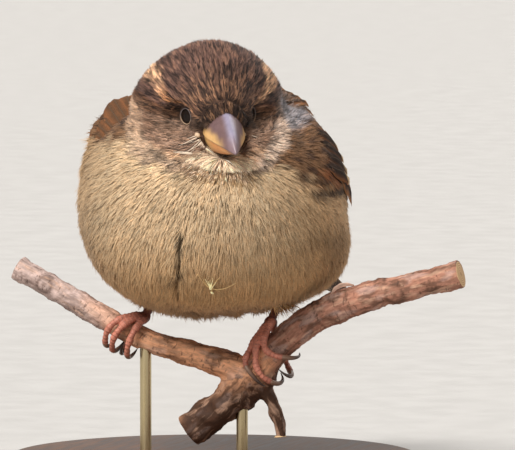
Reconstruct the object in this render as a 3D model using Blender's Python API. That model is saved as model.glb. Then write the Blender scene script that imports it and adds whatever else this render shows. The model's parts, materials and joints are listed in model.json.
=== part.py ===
"""House sparrow, a fluffed-up female, as a life-size museum model on a forked perch with a plain stand.

Metres, +Z up. The bird's body faces -Y, its left side is +X, and the origin is the centre of the
stand's underside. Station tables are in millimetres, and MM turns them into metres.
The plumage solids give the outline out to the feather tips.
"""

import math

import bmesh
import bpy
from mathutils import Matrix, Vector
from mathutils.bvhtree import BVHTree

MM = 0.001
GAP = 0.3 * MM  # clear space between neighbouring pieces
SIDES = {"left": 1, "right": -1}  # the sign of X on each side

# Body
TRUNK_STATIONS = [  # y, half width, top z, widest z, bottom z, from the breast to the tail coverts
    (-31.0, 0.0, 60.5, 60.0, 59.5),
    (-29.6, 8.6, 67.5, 61.0, 52.0),
    (-25.5, 16.6, 73.0, 61.5, 45.8),
    (-19.0, 23.2, 79.0, 62.0, 41.2),
    (-10.0, 28.3, 86.0, 63.0, 38.2),
    (0.0, 29.6, 90.5, 59.0, 37.0),
    (11.0, 28.0, 91.8, 55.0, 37.4),
    (22.0, 23.8, 88.0, 54.0, 39.2),
    (32.0, 18.6, 79.5, 53.5, 41.6),
    (41.0, 13.4, 69.5, 52.5, 43.6),
    (49.0, 9.6, 61.0, 51.0, 44.4),
    (56.0, 7.8, 55.6, 49.0, 43.6),
    (62.0, 6.6, 51.6, 47.0, 42.6),
]
TRUNK_RING = 36
LOWER_EXPONENT = 2.2  # the belly is fuller than an ellipse
FRONT_EXPONENT = 2.1  # upper half, at the breast
BACK_EXPONENT = 1.65  # upper half, over the mantle, which is more like a roof

# Head, in its own frame: the bill points along -y, +x is the bird's left
HEAD_CENTRE = Vector((3.4, -11.0, 82.3)) * MM
HEAD_YAW = math.radians(30)  # turned to the bird's left
HEAD_PITCH = math.radians(15)  # bill down
HEAD_STATIONS = [  # how far forward, half width, top, bottom
    (-18.8, 0.0, 0.0, 0.0),
    (-17.2, 8.5, 6.2, -7.5),
    (-13.5, 14.2, 11.4, -12.5),
    (-9.0, 17.2, 14.8, -15.0),
    (-4.5, 16.9, 16.2, -15.0),
    (0.0, 14.6, 15.3, -13.6),
    (4.0, 11.3, 12.9, -11.4),
    (7.0, 8.2, 10.1, -9.0),
    (9.5, 5.6, 7.4, -6.4),
    (11.2, 3.4, 5.0, -3.4),
    (12.0, 0.0, 0.8, 0.8),
]
CROWN_EXPONENT = 1.8  # the crown is narrower than an ellipse
HEAD_RING = 32
HEAD_BALL = 19.3 * MM  # the head node is the plumage inside this radius
NECK_BALL = 24.0 * MM  # and the neck node is the collar between the two

# Eyes
EYE_RADIUS = 3.3 * MM
EYE_PLACE = Vector((4.9, -3.4, 1.6)) * MM  # the left eye's centre in the head's frame
EYE_TURN = math.radians(55)  # how far its axis points away from straight ahead
EYE_OPENING = 2.0 * MM  # radius of the opening between the lids
EYE_FUNNEL = 3.6 * MM  # radius of the hollow in the face feathers outside it

# Bill: how far forward, half width, outer height, cutting edge height
UPPER_BILL = [
    (9.0, 4.5, 4.9, -0.5),
    (12.0, 4.3, 4.5, -0.7),
    (15.0, 3.35, 3.6, -0.9),
    (18.0, 2.15, 2.3, -1.0),
    (20.5, 1.15, 0.8, -1.05),
    (22.5, 0.3, -0.75, -1.2),
]
LOWER_BILL = [
    (9.0, 4.1, -5.0, -1.0),
    (12.0, 3.9, -4.6, -1.2),
    (15.0, 2.95, -3.7, -1.3),
    (18.0, 1.85, -2.6, -1.35),
    (20.9, 0.55, -1.9, -1.4),
]
UPPER_POWER = 1.2  # of the cosine and sine round a ring: more than 1 narrows the ridge
LOWER_POWER = 0.95
BILL_RINGS = 9
BILL_ARC = 9

# Wings lie on the trunk's own rings, between two angles round them
WING_STATIONS = [  # y, lower angle, upper angle, thickness
    (-11.0, 14.0, 30.0, 1.2),
    (-7.0, 9.0, 42.0, 2.0),
    (0.0, 8.0, 56.0, 2.6),
    (10.0, 10.0, 62.0, 2.8),
    (20.0, 9.0, 65.0, 2.6),
    (30.0, 6.0, 66.0, 2.3),
    (40.0, 6.0, 66.0, 1.9),
    (50.0, 14.0, 66.0, 1.5),
    (58.0, 28.0, 64.0, 1.2),
    (64.0, 42.0, 60.0, 0.9),
]
SHOULDER_PUFFS = {"left": 1.2 * MM, "right": 4.6 * MM}  # how far the shoulder feathers stand out
SHOULDER_Y = 1.0
SHOULDER_ANGLE = 47.0
WING_SINK = 1.0 * MM  # how far its inner face lies under the trunk's outline
WING_RINGS = 15
WING_ROWS = 6
WING_PANELS = {"coverts": (0, 6), "secondaries": (6, 10), "primaries": (10, 14)}  # first and last ring

# Tail
TAIL_ROOT = Vector((0.0, 51.0, 52.0)) * MM
TAIL_TIP = Vector((-1.5, 90.0, 35.6)) * MM
TAIL_HALF_WIDTHS = (4.6, 6.6)  # at the root and near the tip
TAIL_THICKNESS = (1.9, 0.8)
TAIL_ROOF = 0.9  # how much the middle stands above the edges
TAIL_NOTCH = 2.4  # how much shorter the middle feathers are
RUMP_CUT_Y = 43.0 * MM

# Perch: x, z and radius along each arm, all in the plane y = PERCH_Y
PERCH_Y = -2.0 * MM
LEFT_ARM = [
    (-45.0, 48.2, 2.75),
    (-36.6, 43.8, 2.75),
    (-29.2, 39.9, 2.8),
    (-25.6, 37.8, 2.8),
    (-14.3, 32.5, 2.7),
    (-3.3, 29.7, 2.9),
    (6.0, 26.9, 3.4),
    (9.4, 25.6, 3.8),
]
RIGHT_ARM = [
    (8.6, 24.6, 3.8),
    (11.4, 28.2, 3.6),
    (15.6, 32.5, 3.5),
    (23.0, 38.2, 3.5),
    (32.0, 42.2, 3.4),
    (40.8, 44.7, 3.2),
    (51.5, 47.4, 3.05),
    (57.0, 48.9, 3.0),
]
PARENT_ARM = [
    (12.6, 29.0, 3.4),
    (9.6, 25.0, 4.2),
    (4.2, 19.9, 4.2),
    (-2.4, 15.2, 3.9),
    (-5.6, 13.0, 3.8),
]
STUB_TWIG = [(11.6, 24.0, 1.6), (14.0, 19.6, 1.6), (15.4, 15.4, 1.7), (15.8, 11.6, 1.4)]

# Legs: place along the perch arm, then how each toe lies
FEET = {
    "right": {
        "arm": LEFT_ARM,
        "x": -16.8,
        "heel": (-12.0, 4.5, 46.5),
        "toes": {  # offsets along the arm at root and tip, sideways bow, angles round the bark, reach
            "inner": (0.6, 0.5, -0.4, 74, -58, 1.3),
            "middle": (-0.6, -3.2, -0.6, 76, -72, 1.5),
            "outer": (-1.6, -5.0, -0.8, 74, -50, 1.4),
            "hind": (0.0, -2.2, -0.6, 104, 236, 2.2),
        },
    },
    "left": {
        "arm": RIGHT_ARM,
        "x": 16.6,
        "heel": (15.9, 4.5, 46.5),
        "toes": {
            "inner": (-1.4, -9.0, 0.0, 70, 4, 0.5),
            "middle": (-0.4, -7.2, -1.2, 66, -54, 0.9),
            "outer": (0.9, -1.6, -2.2, 66, -36, 0.5),
            "hind": (0.2, -4.6, 0.0, 106, 236, 1.8),
        },
    },
}
TOE_RADIUS = 0.82 * MM
PAD_RADIUS = 1.45 * MM
CLAW_RADIUS = 0.5 * MM
CLAW_POINTS = 6
TOE_POINTS = 7
CLAW_ANGLE = 62  # how far round the bark a claw reaches past its toe
TARSUS_RADIUS = 0.85 * MM

# Stand
BASE_RADIUS = 45.0 * MM
BASE_HEIGHT = 8.0 * MM
BASE_EDGE = 1.5 * MM
ROD_RADIUS = 1.25 * MM
ROD_XS = {"a": -15.0 * MM, "b": 7.0 * MM}
ROD_SOCKET = 2.2 * MM  # how far a rod goes up into the perch

COLOURS = {  # linear base colour and roughness
    "plumage_head": ((0.15, 0.085, 0.06), 0.85),
    "plumage_body": ((0.46, 0.31, 0.17), 0.9),
    "plumage_wing": ((0.11, 0.055, 0.03), 0.75),
    "plumage_tail": ((0.09, 0.055, 0.038), 0.7),
    "bill_upper": ((0.32, 0.24, 0.24), 0.4),
    "bill_lower": ((0.62, 0.32, 0.12), 0.4),
    "eye": ((0.01, 0.008, 0.007), 0.05),
    "leg_skin": ((0.28, 0.1, 0.065), 0.55),
    "claw": ((0.05, 0.03, 0.025), 0.35),
    "bark": ((0.3, 0.15, 0.09), 0.85),
    "stand_wood": ((0.06, 0.03, 0.018), 0.4),
    "stand_metal": ((0.5, 0.42, 0.28), 0.3),
}


def clear_scene():
    for obj in list(bpy.data.objects):
        bpy.data.objects.remove(obj, do_unlink=True)


def material(name):
    found = bpy.data.materials.get(name)
    if found:
        return found
    colour, roughness = COLOURS[name]
    made = bpy.data.materials.new(name)
    made.use_nodes = True
    shader = made.node_tree.nodes["Principled BSDF"]
    shader.inputs["Base Color"].default_value = (*colour, 1.0)
    shader.inputs["Roughness"].default_value = roughness
    shader.inputs["Metallic"].default_value = 1.0 if name == "stand_metal" else 0.0
    return made


def catmull(values, at):
    """The smooth curve through rows of numbers, at a place counted in rows."""
    last = len(values) - 1
    i = min(int(at), last - 1)
    t = at - i
    rows = [values[max(0, min(last, k))] for k in (i - 1, i, i + 1, i + 2)]
    out = []
    for p0, p1, p2, p3 in zip(*rows):
        a = 2 * p1
        b = p2 - p0
        c = 2 * p0 - 5 * p1 + 4 * p2 - p3
        d = 3 * p1 - p0 - 3 * p2 + p3
        out.append(0.5 * (a + b * t + c * t * t + d * t * t * t))
    return out


def resample(values, count):
    return [catmull(values, i * (len(values) - 1) / (count - 1)) for i in range(count)]


def link(name, mesh):
    obj = bpy.data.objects.new(name, mesh)
    bpy.context.scene.collection.objects.link(obj)
    return obj


def mesh_of(name, points, faces):
    mesh = bpy.data.meshes.new(name)
    mesh.from_pydata([tuple(p) for p in points], [], faces)
    bm = bmesh.new()
    bm.from_mesh(mesh)
    bmesh.ops.remove_doubles(bm, verts=bm.verts, dist=1e-7)
    bmesh.ops.recalc_face_normals(bm, faces=bm.faces)
    bm.to_mesh(mesh)
    bm.free()
    return mesh


def loft(name, rings, lens=False):
    """A closed mesh through rings of equally many points, ended by fans, or by strips on a lens."""
    n = len(rings[0])
    points = [p for ring in rings for p in ring]
    faces = []
    for i in range(len(rings) - 1):
        for j in range(n):
            k = (j + 1) % n
            faces.append((i * n + j, i * n + k, (i + 1) * n + k, (i + 1) * n + j))
    for ring, start in ((rings[0], 0), (rings[-1], (len(rings) - 1) * n)):
        if lens:
            for j in range(n // 2 - 1):
                faces.append((start + j, start + j + 1, start + n - 2 - j, start + n - 1 - j))
            continue
        middle = sum((Vector(p) for p in ring), Vector()) / n
        points.append(middle)
        for j in range(n):
            faces.append((start + j, start + (j + 1) % n, len(points) - 1))
    return link(name, mesh_of(name, points, faces))


def helper(obj):
    """Marks a cutter or a guide, which is no part of the model."""
    obj.hide_render = True
    obj.display_type = "WIRE"
    return obj


def evaluated_mesh(obj, name):
    bpy.context.view_layer.update()
    graph = bpy.context.evaluated_depsgraph_get()
    return bpy.data.meshes.new_from_object(obj.evaluated_get(graph), depsgraph=graph).copy()


def boolean(obj, other, operation):
    modifier = obj.modifiers.new(f"{operation.lower()} {other.name}", "BOOLEAN")
    modifier.operation = operation
    modifier.solver = "EXACT"
    modifier.object = other
    return obj


def keep_main_body(mesh):
    """Drops the crumbs a cut leaves beside the main piece."""
    bm = bmesh.new()
    bm.from_mesh(mesh)
    left = set(bm.verts)
    bodies = []
    while left:
        body = {left.pop()}
        front = list(body)
        while front:
            here = front.pop()
            reached = {e.other_vert(here) for e in here.link_edges} - body
            body |= reached
            front += reached
        left -= body
        bodies.append(body)
    bodies.sort(key=len)
    for body in bodies[:-1]:
        bmesh.ops.delete(bm, geom=list(body), context="VERTS")
    bm.to_mesh(mesh)
    bm.free()


def finish_node(obj, colour, sharp_angle=50):
    """Bakes the modifiers into the node's mesh, and gives it its material and shading."""
    mesh = evaluated_mesh(obj, obj.name)
    keep_main_body(mesh)
    obj.modifiers.clear()
    obj.data = mesh
    mesh.materials.clear()
    mesh.materials.append(material(colour))
    mesh.shade_smooth()
    mesh.set_sharp_from_angle(angle=math.radians(sharp_angle))
    return obj


def blend_solids(name, parts, voxel, smoothing, triangles):
    """One smooth closed mesh in place of overlapping solids, thinned to about that many triangles."""
    bm = bmesh.new()
    for part in parts:
        bm.from_mesh(part.data)
    mesh = bpy.data.meshes.new(name)
    bm.to_mesh(mesh)
    bm.free()
    obj = helper(link(name, mesh))
    remesh = obj.modifiers.new("join", "REMESH")
    remesh.mode = "VOXEL"
    remesh.voxel_size = voxel
    smooth = obj.modifiers.new("smooth", "SMOOTH")
    smooth.factor = 0.5
    smooth.iterations = smoothing
    dense = evaluated_mesh(obj, name)
    full = sum(len(p.vertices) - 2 for p in dense.polygons)
    thin = obj.modifiers.new("thin", "DECIMATE")
    thin.ratio = triangles / full
    thin.use_collapse_triangulate = True
    final = evaluated_mesh(obj, name)
    obj.modifiers.clear()
    obj.data = final
    for part in parts:
        bpy.data.objects.remove(part, do_unlink=True)
    return obj


def tube(name, centres, radii, sides=8):
    """A round closed tube along a line, with a radius at each point."""
    centres = [Vector(c) for c in centres]
    rings = []
    across = None
    for i, centre in enumerate(centres):
        ahead = centres[min(i + 1, len(centres) - 1)] - centres[max(i - 1, 0)]
        ahead.normalize()
        if across is None:
            across = ahead.orthogonal().normalized()
        across = (across - across.dot(ahead) * ahead).normalized()
        other = ahead.cross(across)
        ring = []
        for j in range(sides):
            a = 2 * math.pi * j / sides
            ring.append(centre + radii[i] * (math.cos(a) * across + math.sin(a) * other))
        rings.append(ring)
    return loft(name, rings)


# ---------------------------------------------------------------- body


def upper_exponent(y):
    share = min(1.0, max(0.0, (y / MM + 12) / 20))
    return FRONT_EXPONENT + (BACK_EXPONENT - FRONT_EXPONENT) * share


def ring_point(station, angle, out=0.0):
    """A point round the trunk at one of its stations, pushed outwards by out."""
    y, half, top, middle, bottom = (v * MM for v in station)
    c, s = math.cos(angle), math.sin(angle)
    height = top - middle if s > 0 else middle - bottom
    exponent = upper_exponent(y) if s > 0 else LOWER_EXPONENT
    x = math.copysign(abs(c) ** (2 / exponent), c) * (half + out)
    z = middle + math.copysign(abs(s) ** (2 / exponent), s) * (height + out)
    return Vector((x, y, z))


def trunk_solid():
    rings = []
    for station in resample(TRUNK_STATIONS, 34):
        angles = [2 * math.pi * j / TRUNK_RING for j in range(TRUNK_RING)]
        rings.append([ring_point(station, a) for a in angles])
    return loft("trunk_form", rings)


def head_frame():
    turn = Matrix.Rotation(HEAD_YAW, 4, "Z") @ Matrix.Rotation(HEAD_PITCH, 4, "X")
    return Matrix.Translation(HEAD_CENTRE) @ turn


def head_solid():
    frame = head_frame()
    rings = []
    for ahead, half, top, bottom in resample(HEAD_STATIONS, 28):
        middle, height = (top + bottom) / 2, (top - bottom) / 2
        ring = []
        for j in range(HEAD_RING):
            c, s = math.cos(2 * math.pi * j / HEAD_RING), math.sin(2 * math.pi * j / HEAD_RING)
            power = 2 / (CROWN_EXPONENT if s > 0 else 2.0)
            x = max(half, 0) * math.copysign(abs(c) ** power, c)
            z = middle + max(height, 0) * math.copysign(abs(s) ** power, s)
            ring.append(frame @ (Vector((x, -ahead, z)) * MM))
        rings.append(ring)
    return loft("head_form", rings)


def station_at(y):
    """The trunk's ring at any y, in millimetres."""
    rows = TRUNK_STATIONS
    y = min(max(y, rows[0][0]), rows[-1][0])
    low, high = 0.0, float(len(rows) - 1)
    for _ in range(40):
        mid = (low + high) / 2
        if catmull(rows, mid)[0] < y:
            low = mid
        else:
            high = mid
    return catmull(rows, (low + high) / 2)


def ball(name, centre, radius, rings=10, segments=18):
    mesh = bpy.data.meshes.new(name)
    bm = bmesh.new()
    bmesh.ops.create_uvsphere(bm, u_segments=segments, v_segments=rings, radius=radius)
    bmesh.ops.translate(bm, verts=bm.verts, vec=centre)
    bm.to_mesh(mesh)
    bm.free()
    return link(name, mesh)


# ---------------------------------------------------------------- wings


def shoulder_puff(side, y, angle):
    """How far the shoulder feathers stand out at a station and an angle in degrees."""
    spread = ((y - SHOULDER_Y) / 10) ** 2 + ((angle - SHOULDER_ANGLE) / 15) ** 2
    return SHOULDER_PUFFS[side] * math.exp(-spread)


def wing_rings(side, grow, widen, lift):
    """Closed lens-shaped rings lying on the trunk, from the wrist to the wing tip."""
    rings = []
    for y, low, high, thick in resample(WING_STATIONS, WING_RINGS):
        station = [y, *station_at(y)[1:]]
        outer, inner = [], []
        for j in range(WING_ROWS):
            t = j / (WING_ROWS - 1)
            angle = low - widen + (high - low + 2 * widen) * t
            bulge = (1 - (2 * t - 1) ** 2) ** 0.5
            over = (0.35 + 0.65 * bulge) * thick * MM + shoulder_puff(side, y, angle) * bulge
            outer.append(ring_point(station, math.radians(angle), over - WING_SINK + lift))
            inner.append(ring_point(station, math.radians(angle), -WING_SINK - grow))
        ring = outer + inner[::-1]
        for p in ring:
            p.x *= SIDES[side]
        rings.append(ring)
    return rings


def build_wing(side):
    """Makes one folded wing's panels, and returns the space they take from the trunk."""
    rings = wing_rings(side, 0.0, 0.0, 0.0)
    half_gap = Vector((0, GAP / 2, 0))
    for panel, (start, end) in WING_PANELS.items():
        chosen = [list(ring) for ring in rings[start : end + 1]]
        chosen[0] = [p + half_gap for p in chosen[0]]
        chosen[-1] = [p - half_gap for p in chosen[-1]]
        finish_node(loft(f"wing_{side}_{panel}", chosen, lens=True), "plumage_wing")
    space = wing_rings(side, GAP, 1.2, 4 * MM)
    space[0] = [p - 1.4 * half_gap for p in space[0]]
    space[-1] = [p + 1.4 * half_gap for p in space[-1]]
    return helper(loft(f"wing_space_{side}", space, lens=True))


# ---------------------------------------------------------------- tail


def tail_blade(name, grow=0.0, reach=0.0):
    axis = TAIL_TIP - TAIL_ROOT
    ahead = axis.normalized()
    across = ahead.cross(Vector((0, 0, 1))).normalized()
    up = across.cross(ahead)
    columns, rows = 9, 6
    top, bottom = [], []
    for i in range(rows):
        t = i / (rows - 1)
        half = (TAIL_HALF_WIDTHS[0] + (TAIL_HALF_WIDTHS[1] - TAIL_HALF_WIDTHS[0]) * t) * MM + grow
        thick = (TAIL_THICKNESS[0] + (TAIL_THICKNESS[1] - TAIL_THICKNESS[0]) * t) * MM / 2 + grow
        for j in range(columns):
            w = 2 * j / (columns - 1) - 1
            length = (axis.length + reach) * t - reach / 2 - TAIL_NOTCH * MM * t * (1 - abs(w)) ** 1.5
            length -= 1.6 * MM * t * max(0.0, abs(w) - 0.75) / 0.25
            roof = TAIL_ROOF * MM * (1 - w * w) * (1 - 0.4 * t)
            centre = TAIL_ROOT + ahead * length + across * half * w + up * roof
            edge = thick * (1 - 0.45 * abs(w) ** 4)
            top.append(centre + up * edge)
            bottom.append(centre - up * edge)
    faces = []
    m = rows * columns
    for i in range(rows - 1):
        for j in range(columns - 1):
            a, b = i * columns + j, i * columns + j + 1
            c, d = b + columns, a + columns
            faces += [(a, b, c, d), (a + m, d + m, c + m, b + m)]
    rim = [j for j in range(columns)]
    rim += [i * columns + columns - 1 for i in range(1, rows)]
    rim += [(rows - 1) * columns + j for j in range(columns - 2, -1, -1)]
    rim += [i * columns for i in range(rows - 2, 0, -1)]
    for k, a in enumerate(rim):
        b = rim[(k + 1) % len(rim)]
        faces.append((a, a + m, b + m, b))
    return link(name, mesh_of(name, top + bottom, faces))


# ---------------------------------------------------------------- head pieces


def bill_half(name, stations, power, grow=0.0):
    """The upper or lower bill: flat at its cutting edge and rounded outside it."""
    frame = head_frame()
    rings = []
    for ahead, half, outer, edge in resample(stations, BILL_RINGS):
        direction = 1 if outer > edge else -1
        height = abs(outer - edge) * MM + grow
        ring = []
        for j in range(BILL_ARC):
            a = math.pi * j / (BILL_ARC - 1)
            x = (half * MM + grow) * math.copysign(abs(math.cos(a)) ** power, math.cos(a))
            z = edge * MM + direction * height * math.sin(a) ** power
            if j in (0, BILL_ARC - 1):
                z -= direction * grow
            ring.append(frame @ Vector((x, -ahead * MM, z)))
        rings.append(ring)
    return loft(name, rings)


def eye_axis(sign):
    turn = head_frame().to_3x3()
    return (turn @ Vector((sign * math.sin(EYE_TURN), -math.cos(EYE_TURN), 0.05))).normalized()


def eye_centre(sign):
    return head_frame() @ Vector((sign * EYE_PLACE.x, EYE_PLACE.y, EYE_PLACE.z))


def eye_funnel(name, sign):
    """The open cone in the face feathers in front of an eye."""
    axis, centre = eye_axis(sign), eye_centre(sign)
    start = centre + axis * (EYE_RADIUS * 0.55)
    end = centre + axis * (EYE_RADIUS + 3.2 * MM)
    line = [start, start.lerp(end, 0.35), end]
    return helper(tube(name, line, [EYE_OPENING, EYE_OPENING * 1.1, EYE_FUNNEL], 12))


# ---------------------------------------------------------------- perch and feet


def arm_line(rows, count):
    return [(Vector((x * MM, PERCH_Y, z * MM)), r * MM) for x, z, r in resample(rows, count)]


def knobbed(radius, index):
    """Bark swells and narrows a little along a twig."""
    return radius * (1 + 0.035 * math.sin(index * 1.7) + 0.03 * math.sin(index * 0.61 + 1))


def perch_solid():
    parts = []
    for name, rows, count in (
        ("left_arm", LEFT_ARM, 30),
        ("right_arm", RIGHT_ARM, 30),
        ("parent_arm", PARENT_ARM, 14),
        ("stub_twig", STUB_TWIG, 10),
    ):
        line = arm_line(rows, count)
        radii = [knobbed(r, i + 5 * len(parts)) for i, (_, r) in enumerate(line)]
        parts.append(tube(name, [p for p, _ in line], radii, 14))
    return blend_solids("perch_form", parts, 0.55 * MM, 5, 700)


def bark_tree(perch):
    bm = bmesh.new()
    bm.from_mesh(perch.data)
    tree = BVHTree.FromBMesh(bm)
    bm.free()
    return tree


def grip_frame(foot, offset):
    """The arm's centre offset along it from the foot, with the ways along, up and to the front."""
    rows = arm_line(foot["arm"], 120)
    nearest = min(range(len(rows)), key=lambda i: abs(rows[i][0].x - foot["x"] * MM))
    centre = rows[nearest][0]
    along = (rows[min(nearest + 4, 119)][0] - rows[nearest - 4][0]).normalized()
    if along.x < 0:
        along = -along
    front = Vector((0, -1, 0))
    up = front.cross(along)
    up = -up if up.z < 0 else up
    return centre + along * offset * MM, along, up, front


def bark_point(tree, foot, offset, angle, clear):
    """A point that far off the bark, at an angle round the arm: 90 is on top and 0 at the front."""
    centre, _, up, front = grip_frame(foot, offset)
    a = math.radians(angle)
    out = up * math.sin(a) + front * math.cos(a)
    start = centre + out * 12 * MM
    hit, _, _, _ = tree.ray_cast(start, -out, 12 * MM)
    surface = hit if hit else centre + out * 3 * MM
    return surface + out * clear


def toe_centres(tree, foot, spec, count=TOE_POINTS):
    root, tip, bow, first, last, reach = spec
    centres = []
    for i in range(count):
        t = i / (count - 1)
        offset = root + (tip - root) * math.sin(t * math.pi / 2) + bow * math.sin(t * math.pi)
        clear = GAP + TOE_RADIUS * 1.12 + 0.5 * MM * (1 - t) ** 2 + reach * MM * t**2
        centres.append(bark_point(tree, foot, offset, first + (last - first) * t, clear))
    return centres


def toe_radii(count):
    """Joints swell a little, and the toe thins towards its claw."""
    radii = []
    for i in range(count):
        t = i / (count - 1)
        joints = 1 + 0.1 * math.cos(t * 3 * 2 * math.pi)
        radii.append(TOE_RADIUS * joints * (1.05 - 0.25 * t))
    return radii


def claw_centres(tree, foot, spec, toe_line, count=CLAW_POINTS):
    """A claw runs on from its toe's end and bends back to the bark."""
    _, tip, bow, first, last, _ = spec
    ahead = (toe_line[-1] - toe_line[-2]).normalized()
    start = toe_line[-1] + ahead * GAP * 1.1
    way = math.copysign(1, last - first)
    end = bark_point(tree, foot, tip - bow, last + way * CLAW_ANGLE, GAP + CLAW_RADIUS)
    reach = (end - start).length
    above = bark_point(tree, foot, tip - bow, last + way * CLAW_ANGLE * 0.75, GAP + 0.45 * reach)
    line = []
    for i in range(count):
        t = i / (count - 1)
        u = 1 - t
        bend = start + ahead * reach * 0.4
        line.append(u**3 * start + 3 * u * u * t * bend + 3 * u * t * t * above + t**3 * end)
    return line


def build_leg(side, tree):
    """Makes a foot, its claws and its tarsus, and returns the tarsus's socket in the plumage."""
    foot = FEET[side]
    pad_centre = bark_point(tree, foot, 0, 92, GAP + PAD_RADIUS * 1.1)
    pad = ball(f"foot_{side}", pad_centre, PAD_RADIUS, 6, 8)
    for toe, spec in foot["toes"].items():
        centres = toe_centres(tree, foot, spec)
        line = [pad_centre.lerp(centres[0], 0.3), *centres]
        form = tube(f"toe_{toe}_{side}", line, [TOE_RADIUS, *toe_radii(len(centres))], 6)
        boolean(pad, helper(form), "UNION")
        claw_line = claw_centres(tree, foot, spec, centres)
        radii = [CLAW_RADIUS * (1.05 - 0.5 * i / (CLAW_POINTS - 1)) for i in range(CLAW_POINTS)]
        finish_node(tube(f"claw_{toe}_{side}", claw_line, radii, 6), "claw")
    finish_node(pad, "leg_skin")
    heel = Vector(foot["heel"]) * MM
    axis = (heel - pad_centre).normalized()
    ankle = pad_centre + axis * (PAD_RADIUS + 1.2 * GAP)
    line = [ankle, ankle.lerp(heel, 0.15), ankle.lerp(heel, 0.5), heel]
    radii = [TARSUS_RADIUS * swell for swell in (1.15, 1.0, 0.95, 1.0)]
    finish_node(tube(f"tarsus_{side}", line, radii, 8), "leg_skin")
    return tube(f"tarsus_space_{side}", [ankle, heel + axis * GAP], [TARSUS_RADIUS * 1.2 + GAP] * 2, 8)


# ---------------------------------------------------------------- stand


def build_stand(perch, tree):
    mesh = bpy.data.meshes.new("stand_base")
    bm = bmesh.new()
    bmesh.ops.create_cone(
        bm, cap_ends=True, segments=36, radius1=BASE_RADIUS, radius2=BASE_RADIUS, depth=BASE_HEIGHT
    )
    bmesh.ops.translate(bm, verts=bm.verts, vec=(0, 0, BASE_HEIGHT / 2))
    bm.to_mesh(mesh)
    bm.free()
    base = link("stand_base", mesh)
    edge = base.modifiers.new("edge", "BEVEL")
    edge.width = BASE_EDGE
    edge.segments = 2
    edge.limit_method = "ANGLE"
    for key, x in ROD_XS.items():
        start = Vector((x, PERCH_Y, BASE_HEIGHT))
        hit, _, _, _ = tree.ray_cast(start, Vector((0, 0, 1)))
        top = hit.z + ROD_SOCKET
        low = BASE_HEIGHT - 5 * MM
        rod_line = [Vector((x, PERCH_Y, z)) for z in (low + GAP, top)]
        rod = tube(f"stand_rod_{key}", rod_line, [ROD_RADIUS] * 2, 16)
        finish_node(rod, "stand_metal")
        space = [Vector((x, PERCH_Y, z)) for z in (low, top + GAP)]
        hole = helper(tube(f"rod_hole_{key}", space, [ROD_RADIUS + GAP] * 2, 16))
        boolean(base, hole, "DIFFERENCE")
        boolean(perch, hole, "DIFFERENCE")
    finish_node(base, "stand_wood")


# ---------------------------------------------------------------- all of it


def copy_of(obj, name):
    return link(name, obj.data.copy())


def build():
    clear_scene()
    flesh = blend_solids("flesh_form", [trunk_solid(), head_solid()], 0.8 * MM, 8, 1680)

    perch_form = perch_solid()
    tree = bark_tree(perch_form)
    perch = copy_of(perch_form, "perch_branch")
    build_stand(perch, tree)
    finish_node(perch, "bark")

    # pieces set into the plumage, and the spaces they take from it
    spaces = []
    for name, stations, power in (
        ("bill_upper", UPPER_BILL, UPPER_POWER),
        ("bill_lower", LOWER_BILL, LOWER_POWER),
    ):
        finish_node(bill_half(name, stations, power), name)
        spaces.append(helper(bill_half(f"{name}_space", stations, power, GAP * 1.3)))
    for side, sign in SIDES.items():
        eye = ball(f"eye_{side}", eye_centre(sign), EYE_RADIUS, 8, 12)
        finish_node(eye, "eye")
        spaces.append(helper(ball(f"socket_{side}", eye_centre(sign), EYE_RADIUS + GAP * 1.3, 8, 12)))
        spaces.append(eye_funnel(f"funnel_{side}", sign))

    body_spaces = []
    for side in SIDES:
        body_spaces.append(build_wing(side))
    finish_node(tail_blade("tail"), "plumage_tail")
    tail_space = helper(tail_blade("tail_space", GAP, 2 * GAP))

    for side in SIDES:
        body_spaces.append(helper(build_leg(side, tree)))

    head = copy_of(flesh, "head")
    boolean(head, helper(ball("head_ball", HEAD_CENTRE, HEAD_BALL)), "INTERSECT")
    for space in [*spaces, *body_spaces]:
        boolean(head, space, "DIFFERENCE")
    finish_node(head, "plumage_head")

    neck_ball = helper(ball("neck_ball", HEAD_CENTRE, NECK_BALL))
    neck_inner = helper(ball("neck_inner", HEAD_CENTRE, HEAD_BALL + GAP))
    neck_outer = helper(ball("neck_outer", HEAD_CENTRE, NECK_BALL + GAP))
    neck = boolean(copy_of(flesh, "neck"), neck_ball, "INTERSECT")
    boolean(neck, neck_inner, "DIFFERENCE")
    for space in [*spaces[:2], *body_spaces]:
        boolean(neck, space, "DIFFERENCE")
    finish_node(neck, "plumage_body")

    far = 200 * MM
    for name, start, end in (("trunk", -far, RUMP_CUT_Y), ("rump", RUMP_CUT_Y + GAP, far)):
        region = helper(box(f"{name}_region", start, end))
        part = boolean(copy_of(flesh, name), region, "INTERSECT")
        if name == "trunk":
            boolean(part, neck_outer, "DIFFERENCE")
        for space in body_spaces:
            boolean(part, space, "DIFFERENCE")
        if name == "rump":
            boolean(part, tail_space, "DIFFERENCE")
        finish_node(part, "plumage_body")
    for obj in list(bpy.data.objects):
        if obj.hide_render:
            bpy.data.objects.remove(obj, do_unlink=True)


def box(name, y_start, y_end):
    """A block across the whole bird between two planes of constant y."""
    reach = 200 * MM
    mesh = bpy.data.meshes.new(name)
    bm = bmesh.new()
    bmesh.ops.create_cube(bm, size=1.0)
    bmesh.ops.scale(bm, vec=(reach, y_end - y_start, reach), verts=bm.verts)
    bmesh.ops.translate(bm, vec=(0, (y_start + y_end) / 2, 0), verts=bm.verts)
    bm.to_mesh(mesh)
    bm.free()
    return link(name, mesh)


build()
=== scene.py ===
"""Looks for the house sparrow model: skin, feathers, bill, eyes, feet, bark, stand, lights and camera."""

import json
import math
from contextlib import contextmanager

import bmesh
import bpy
import numpy as np
from mathutils import Matrix, Vector
from mathutils.bvhtree import BVHTree
from mathutils.kdtree import KDTree

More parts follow.
